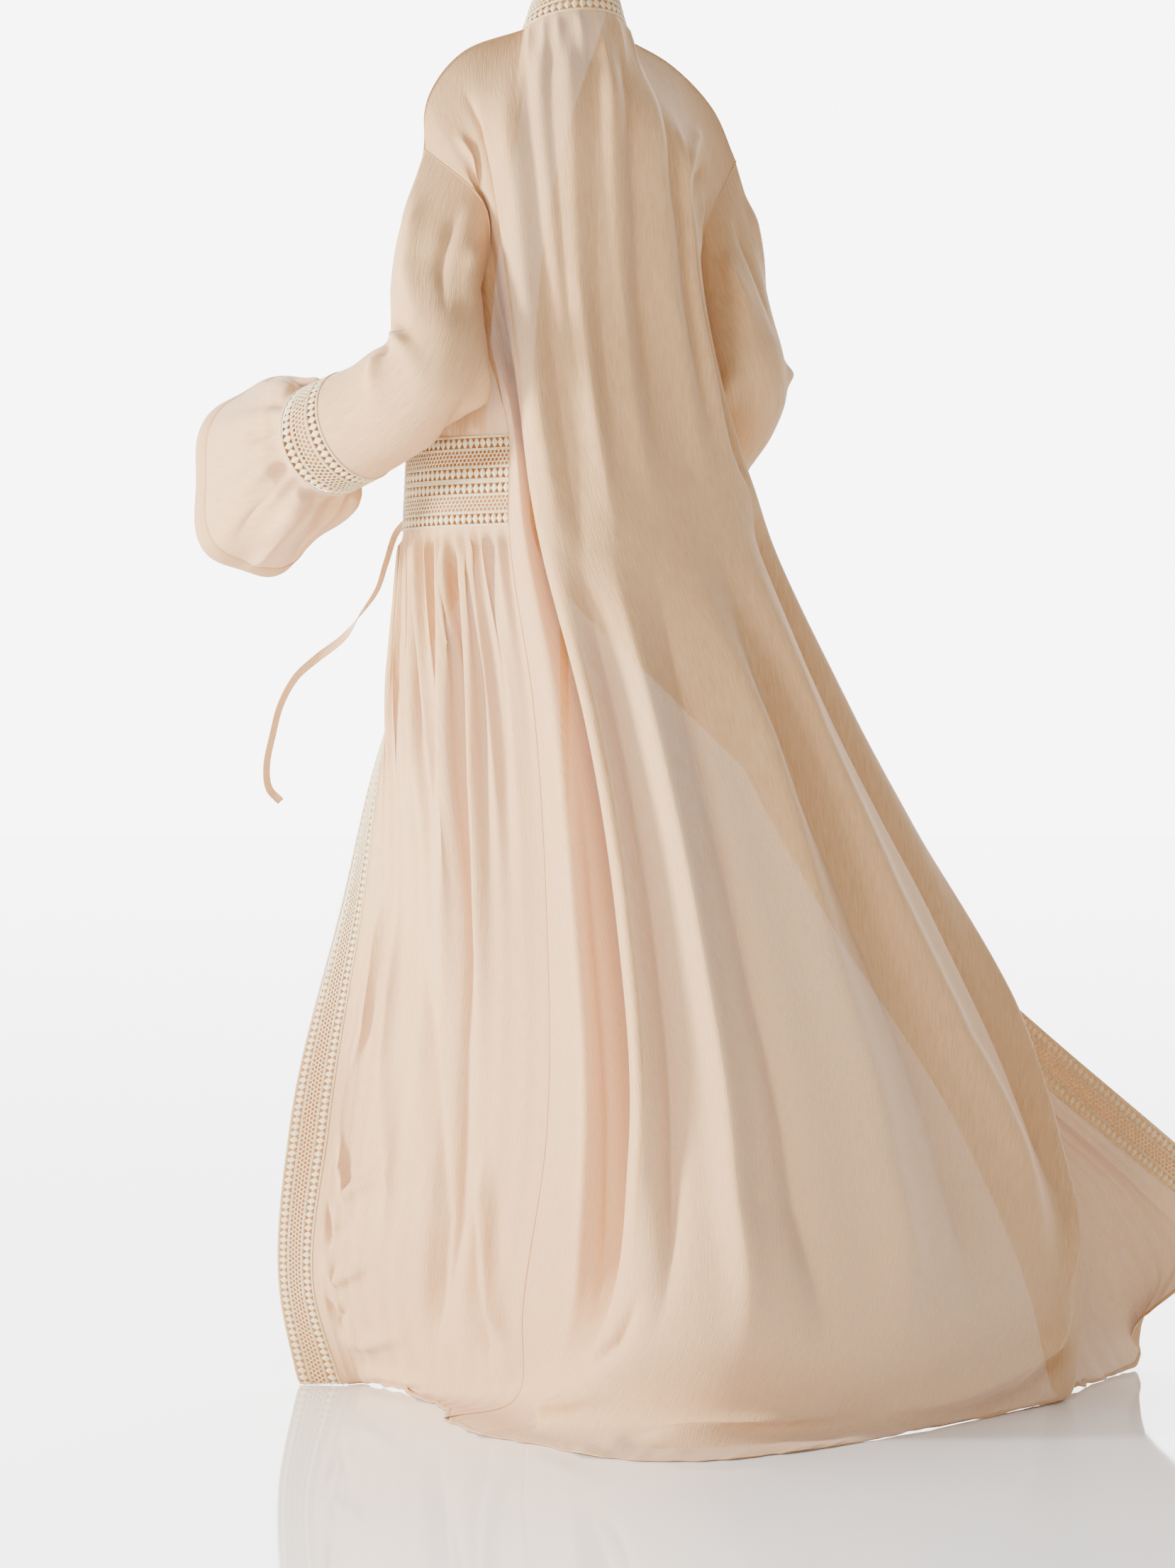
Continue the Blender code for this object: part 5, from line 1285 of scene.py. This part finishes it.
class OBJECT_OT_abaya_back(bpy.types.Operator):
    """Back panel with its folds and train."""

    bl_idname = "object.abaya_back"
    bl_label = "Back"

    def execute(self, context):
        path = np.linspace(0, LEVEL_PATH[-1], BACK_CELLS[0] + 1)
        cloth = Cloth(back_points(np.linspace(0, BACK_SPAN, BACK_CELLS[1] + 1), path), 1)
        fold_and_lay(cloth, BACK_FOLDS, path, HEM_SEED["back"])
        nodes = [f"back_{part}_{level}"
                 for part in ("left", "middle", "right") for level in ("upper", "lower")]
        made = add_cloth("back_crepe", cloth, *nodes)
        width = context.scene.abaya_looks.hem_width
        hem = add_strip("back_hem", *cloth.edge(HEM_ROWS["back"]), width, HEM_THICKNESS)
        state_cut(made, cloth, "hung", hem)
        return {"FINISHED"}


class OBJECT_OT_abaya_fronts(bpy.types.Operator):
    """Upper fronts, gathered into the waist lace."""

    bl_idname = "object.abaya_fronts"
    bl_label = "Upper fronts"

    def execute(self, context):
        path = np.linspace(PATH_OF["shoulder"], PATH_OF["waist_top"], BODICE_CELLS[0] + 1)
        shares = np.linspace(0, 1, BODICE_CELLS[1] + 1)
        for side, hand in HAND.items():
            cloth = press(Cloth(front_points(side, shares, path)[0], -hand), BODICE_FOLDS[side], path)
            state_cut(add_cloth(f"front_{side}_crepe", cloth, "front_" + side), cloth, "hung")
        return {"FINISHED"}


class OBJECT_OT_abaya_skirts(bpy.types.Operator):
    """Front skirts, gathered under the waist lace."""

    bl_idname = "object.abaya_skirts"
    bl_label = "Front skirts"

    def execute(self, context):
        width = context.scene.abaya_looks.hem_width
        path = np.linspace(PATH_OF["waist_foot"], PATH_OF["hem"], SKIRT_CELLS[0] + 1)
        shares = np.linspace(0, 1, SKIRT_CELLS[1] + 1)
        for side, hand in HAND.items():
            cloth = Cloth(gathered(front_points(side, shares, path)[0], -hand, side), -hand)
            fold_and_lay(cloth, SKIRT_FOLDS[side], path, HEM_SEED[side])
            made = add_cloth(f"skirt_{side}_crepe", cloth, "skirt_" + side)
            hem = add_strip(f"skirt_{side}_hem", *cloth.edge(HEM_ROWS["skirt"]), width, HEM_THICKNESS)
            state_cut(made, cloth, "gathered", hem)
        return {"FINISHED"}


class OBJECT_OT_abaya_sleeves(bpy.types.Operator):
    """Sleeves from the armhole to the cuff lace."""

    bl_idname = "object.abaya_sleeves"
    bl_label = "Sleeves"

    def execute(self, context):
        places = np.linspace(0, 1, SLEEVE_CELLS[0] + 1)
        for side, hand in HAND.items():
            rings = sleeve_rings(side, SLEEVE_CELLS[1])[0]
            cloth = Cloth(through(np.linspace(0, 1, len(rings)), rings, places), hand, around=True)
            press(cloth, SLEEVE_FOLDS[side], places, (1, 1, 0, 0))
            made = add_cloth(f"sleeve_{side}_crepe", cloth, f"sleeve_{side}_under", f"sleeve_{side}_over")
            state_cut(made, cloth, "hung")
        return {"FINISHED"}


class OBJECT_OT_abaya_bells(bpy.types.Operator):
    """Bell cuffs with their wide stitched hems."""

    bl_idname = "object.abaya_bells"
    bl_label = "Bell cuffs"

    def execute(self, context):
        width = context.scene.abaya_looks.bell_hem_width
        places = np.linspace(0, 1, BELL_CELLS[0] + 1)
        for side, hand in HAND.items():
            cloth = Cloth(bell_rings(side, *BELL_CELLS), hand, around=True)
            press(cloth, BELL_FOLDS[side], places, (1, 0, 0, 0))
            made = add_cloth(f"bell_{side}_crepe", cloth, "bell_" + side)
            edge, outward, inner = cloth.edge(HEM_ROWS["bell"])
            hem = add_strip(f"bell_{side}_hem", edge, outward, inner, width, BELL_HEM_THICKNESS)
            row = edge + to_unit(inner - edge) * (width - STITCH_INSET) + outward * BELL_HEM_THICKNESS
            thread = add_stitches(f"bell_{side}_stitches", edge, outward, row)
            state_cut(made, cloth, "gathered", hem, thread)
        return {"FINISHED"}


class OBJECT_OT_abaya_lace(bpy.types.Operator):
    """Crochet lace at the waist, down the front edges, round the neck and at the cuffs."""

    bl_idname = "object.abaya_lace"
    bl_label = "Lace bands"

    def execute(self, context):
        for side, hand in HAND.items():
            path = np.linspace(PATH_OF["waist_top"], PATH_OF["waist_foot"], WAIST_ROWS + 1)
            grid, _ = front_points(side, np.linspace(0, 1, LACE_GRID + 1), path)
            add_trim(f"waist_lace_{side}", grid, -hand, stacked=2)
            path = np.linspace(0, LEVEL_PATH[-1], 2 * LACE_GRID + 1)
            _, edges = front_points(side, np.array([0.0, 1.0]), path)
            grid = np.stack([edges[:, 0], edges.mean(axis=1), edges[:, 1]])
            add_trim(f"edge_lace_{side}", grid, hand)
            rings, cuff_end, _ = sleeve_rings(side, LACE_GRID)
            ring = np.array([rings[-1], (rings[-1] + cuff_end) / 2, cuff_end])
            ring = np.concatenate([ring, ring[:, :1]], axis=1)
            half = LACE_GRID // 2
            add_trim(f"cuff_lace_{side}_under", ring[:, :half + 1], hand)
            add_trim(f"cuff_lace_{side}_over", ring[:, half:], hand)
        turns = np.linspace(0, math.pi, LACE_GRID + 1)
        foot = neck_line(turns)
        top = neck_line(turns, COLLAR_TOP_HALF_WIDTH, COLLAR_TOP_DEPTH, COLLAR_TOP_SIDE, COLLAR_TOP_BACK)
        add_trim("collar_lace", [foot, (foot + top) / 2, top], -1, name="collar_crochet")
        return {"FINISHED"}


class OBJECT_OT_abaya_ties(bpy.types.Operator):
    """Flat ties sewn on at the waist."""

    bl_idname = "object.abaya_ties"
    bl_label = "Ties"

    def execute(self, context):
        section = closed(np.array(turned_round(TIE_SECTION)))
        for side in HAND:
            route = np.array(TIE_ROUTE[side])
            knots = np.arange(len(route))
            path = through(knots, route, np.linspace(0, knots[-1], TIE_STEPS * len(route)))
            middles = path[:, :3]
            along = to_unit(np.gradient(middles, axis=0))
            face = np.array(TIE_FACE[side])
            out = to_unit(face - along * (along @ face)[:, None])
            turn = np.radians(path[:, 3])[:, None]
            across = np.cross(along, out) * np.cos(turn) + out * np.sin(turn)
            over = np.cross(across, along)
            grid = np.stack([middles + across * w * TIE_WIDTH / 2 + over * t * TIE_HALF_THICKNESS
                             for w, t in section])
            lengths = lengths_along(middles)
            flats = (section[:, :1] * TIE_WIDTH / 2, lengths)
            made = add_grid(f"tie_{side}_tape", grid, flats, "ribbon", capped=True)
            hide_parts("tie_" + side)
        return {"FINISHED"}


class OBJECT_OT_abaya_seams(bpy.types.Operator):
    """Raised lines of the shoulder, armhole and side seams."""

    bl_idname = "object.abaya_seams"
    bl_label = "Seams"

    def execute(self, context):
        path = np.linspace(PATH_OF["underarm"], LEVEL_PATH[-1], SEAM_POINTS)
        for side, hand in HAND.items():
            seam = back_column(SEAM_COLUMN[side], path)
            beside = back_column(SEAM_COLUMN[side] + SEAM_BESIDE * hand, path)
            outward = to_unit(np.cross(np.gradient(seam, axis=0), beside - seam) * hand)
            add_ridge(f"side_seam_{side}", seam, outward, SEAM_RADIUS)
            loop = armhole(side, ARMHOLE_POINTS)
            loop, middle = closed(loop), loop.mean(axis=0)
            add_ridge(f"armhole_seam_{side}", loop, to_unit(loop - middle), ARMHOLE_RADIUS)
            columns = SEAM_COLUMN[side] + hand * np.linspace(0, SHOULDER_SPAN, SHOULDER_POINTS)
            line = shoulder_line(columns)
            add_ridge(f"shoulder_seam_{side}", line, np.tile((0.0, 0.0, 1.0), (len(line), 1)), SEAM_RADIUS)
        return {"FINISHED"}


class OBJECT_OT_abaya_stage(bpy.types.Operator):
    """Pale floor, soft light and the camera."""

    bl_idname = "object.abaya_stage"
    bl_label = "Stage"

    def execute(self, context):
        scene = context.scene
        down = FLOOR - FLOOR_UNDER
        turns = np.linspace(0, 2 * math.pi, FLOOR_SIDES, endpoint=False)
        points = [(0.0, 0.0, down)] + [
            (FLOOR_RADIUS * math.cos(t), FLOOR_RADIUS * math.sin(t), down) for t in turns]
        faces = [(0, 1 + index, 1 + (index + 1) % FLOOR_SIDES) for index in range(FLOOR_SIDES)]
        mesh = bpy.data.meshes.new("floor")
        mesh.from_pydata(points, [], faces)
        mesh.materials.append(material("floor"))
        floor = bpy.data.objects.new("floor", mesh)
        scene.collection.objects.link(floor)
        floor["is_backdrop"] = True
        # A big white sheet lit hard behind the garment, and a dimmer room on the camera's side
        world = bpy.data.worlds.new("soft_white_studio")
        world.use_nodes = True
        tree = world.node_tree
        away = (-math.sin(TURN), -math.cos(TURN), 0.0)
        place = add_node(tree, "ShaderNodeTexCoord")
        facing = add_node(tree, "ShaderNodeVectorMath", {"operation": "DOT_PRODUCT"}, {
            0: place.outputs["Generated"], 1: away})
        strength = add_node(tree, "ShaderNodeMapRange", {"interpolation_type": "SMOOTHSTEP"}, {
            "Value": facing.outputs["Value"], "From Min": BACKDROP_EDGES[0], "From Max": BACKDROP_EDGES[1],
            "To Min": ROOM_LIGHT, "To Max": BACKDROP_LIGHT})
        background = tree.nodes["Background"]
        background.inputs["Color"].default_value = (1.0, 1.0, 1.0, 1.0)
        tree.links.new(strength.outputs[0], background.inputs["Strength"])
        scene.world = world
        for name, place, target, size, power in LAMPS:
            light = bpy.data.lights.new(name, "AREA")
            light.shape = "DISK"
            light.size = size
            light.energy = power
            lamp = bpy.data.objects.new(name, light)
            lamp.location = place
            lamp.rotation_euler = (Vector(target) - Vector(place)).to_track_quat("-Z", "Y").to_euler()
            lamp.visible_camera = False
            lamp.visible_glossy = False
            scene.collection.objects.link(lamp)
        camera = bpy.data.cameras.new("photo_camera")
        camera.lens = CAMERA_LENS
        camera.sensor_width = 36.0
        camera.clip_start = 0.1
        camera.clip_end = 200.0
        holder = bpy.data.objects.new("photo_camera", camera)
        holder.location = CAMERA_PLACE
        holder.rotation_euler = Vector(away).to_track_quat("-Z", "Y").to_euler()
        scene.collection.objects.link(holder)
        scene.camera = holder
        return {"FINISHED"}


OPERATORS = (
    OBJECT_OT_abaya_stage,
    OBJECT_OT_abaya_ties,
    OBJECT_OT_abaya_back,
    OBJECT_OT_abaya_fronts,
    OBJECT_OT_abaya_skirts,
    OBJECT_OT_abaya_sleeves,
    OBJECT_OT_abaya_bells,
    OBJECT_OT_abaya_lace,
    OBJECT_OT_abaya_seams,
)


class VIEW3D_PT_abaya(bpy.types.Panel):
    """Sidebar panel that lists the pieces and their settings."""

    bl_label = "Abaya"
    bl_idname = "VIEW3D_PT_abaya"
    bl_space_type = "VIEW_3D"
    bl_region_type = "UI"
    bl_category = "Abaya"

    def draw(self, context):
        looks = context.scene.abaya_looks
        for name in GarmentSettings.__annotations__:
            self.layout.prop(looks, name)
        for operator in OPERATORS:
            self.layout.operator(operator.bl_idname)


CLASSES = (GarmentSettings, *OPERATORS, VIEW3D_PT_abaya)


def register():
    for cls in CLASSES:
        bpy.utils.register_class(cls)
    bpy.types.Scene.abaya_looks = bpy.props.PointerProperty(type=GarmentSettings)


def unregister():
    del bpy.types.Scene.abaya_looks
    for cls in reversed(CLASSES):
        bpy.utils.unregister_class(cls)


def corners():
    """The object's box now, as plain lists."""
    return [list(corner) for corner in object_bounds()]


def main():
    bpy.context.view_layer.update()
    register()
    for operator in OPERATORS:
        group, name = operator.bl_idname.split(".")
        getattr(getattr(bpy.ops, group), name)()
    bpy.context.view_layer.update()


if __name__ == "__main__":
    main()
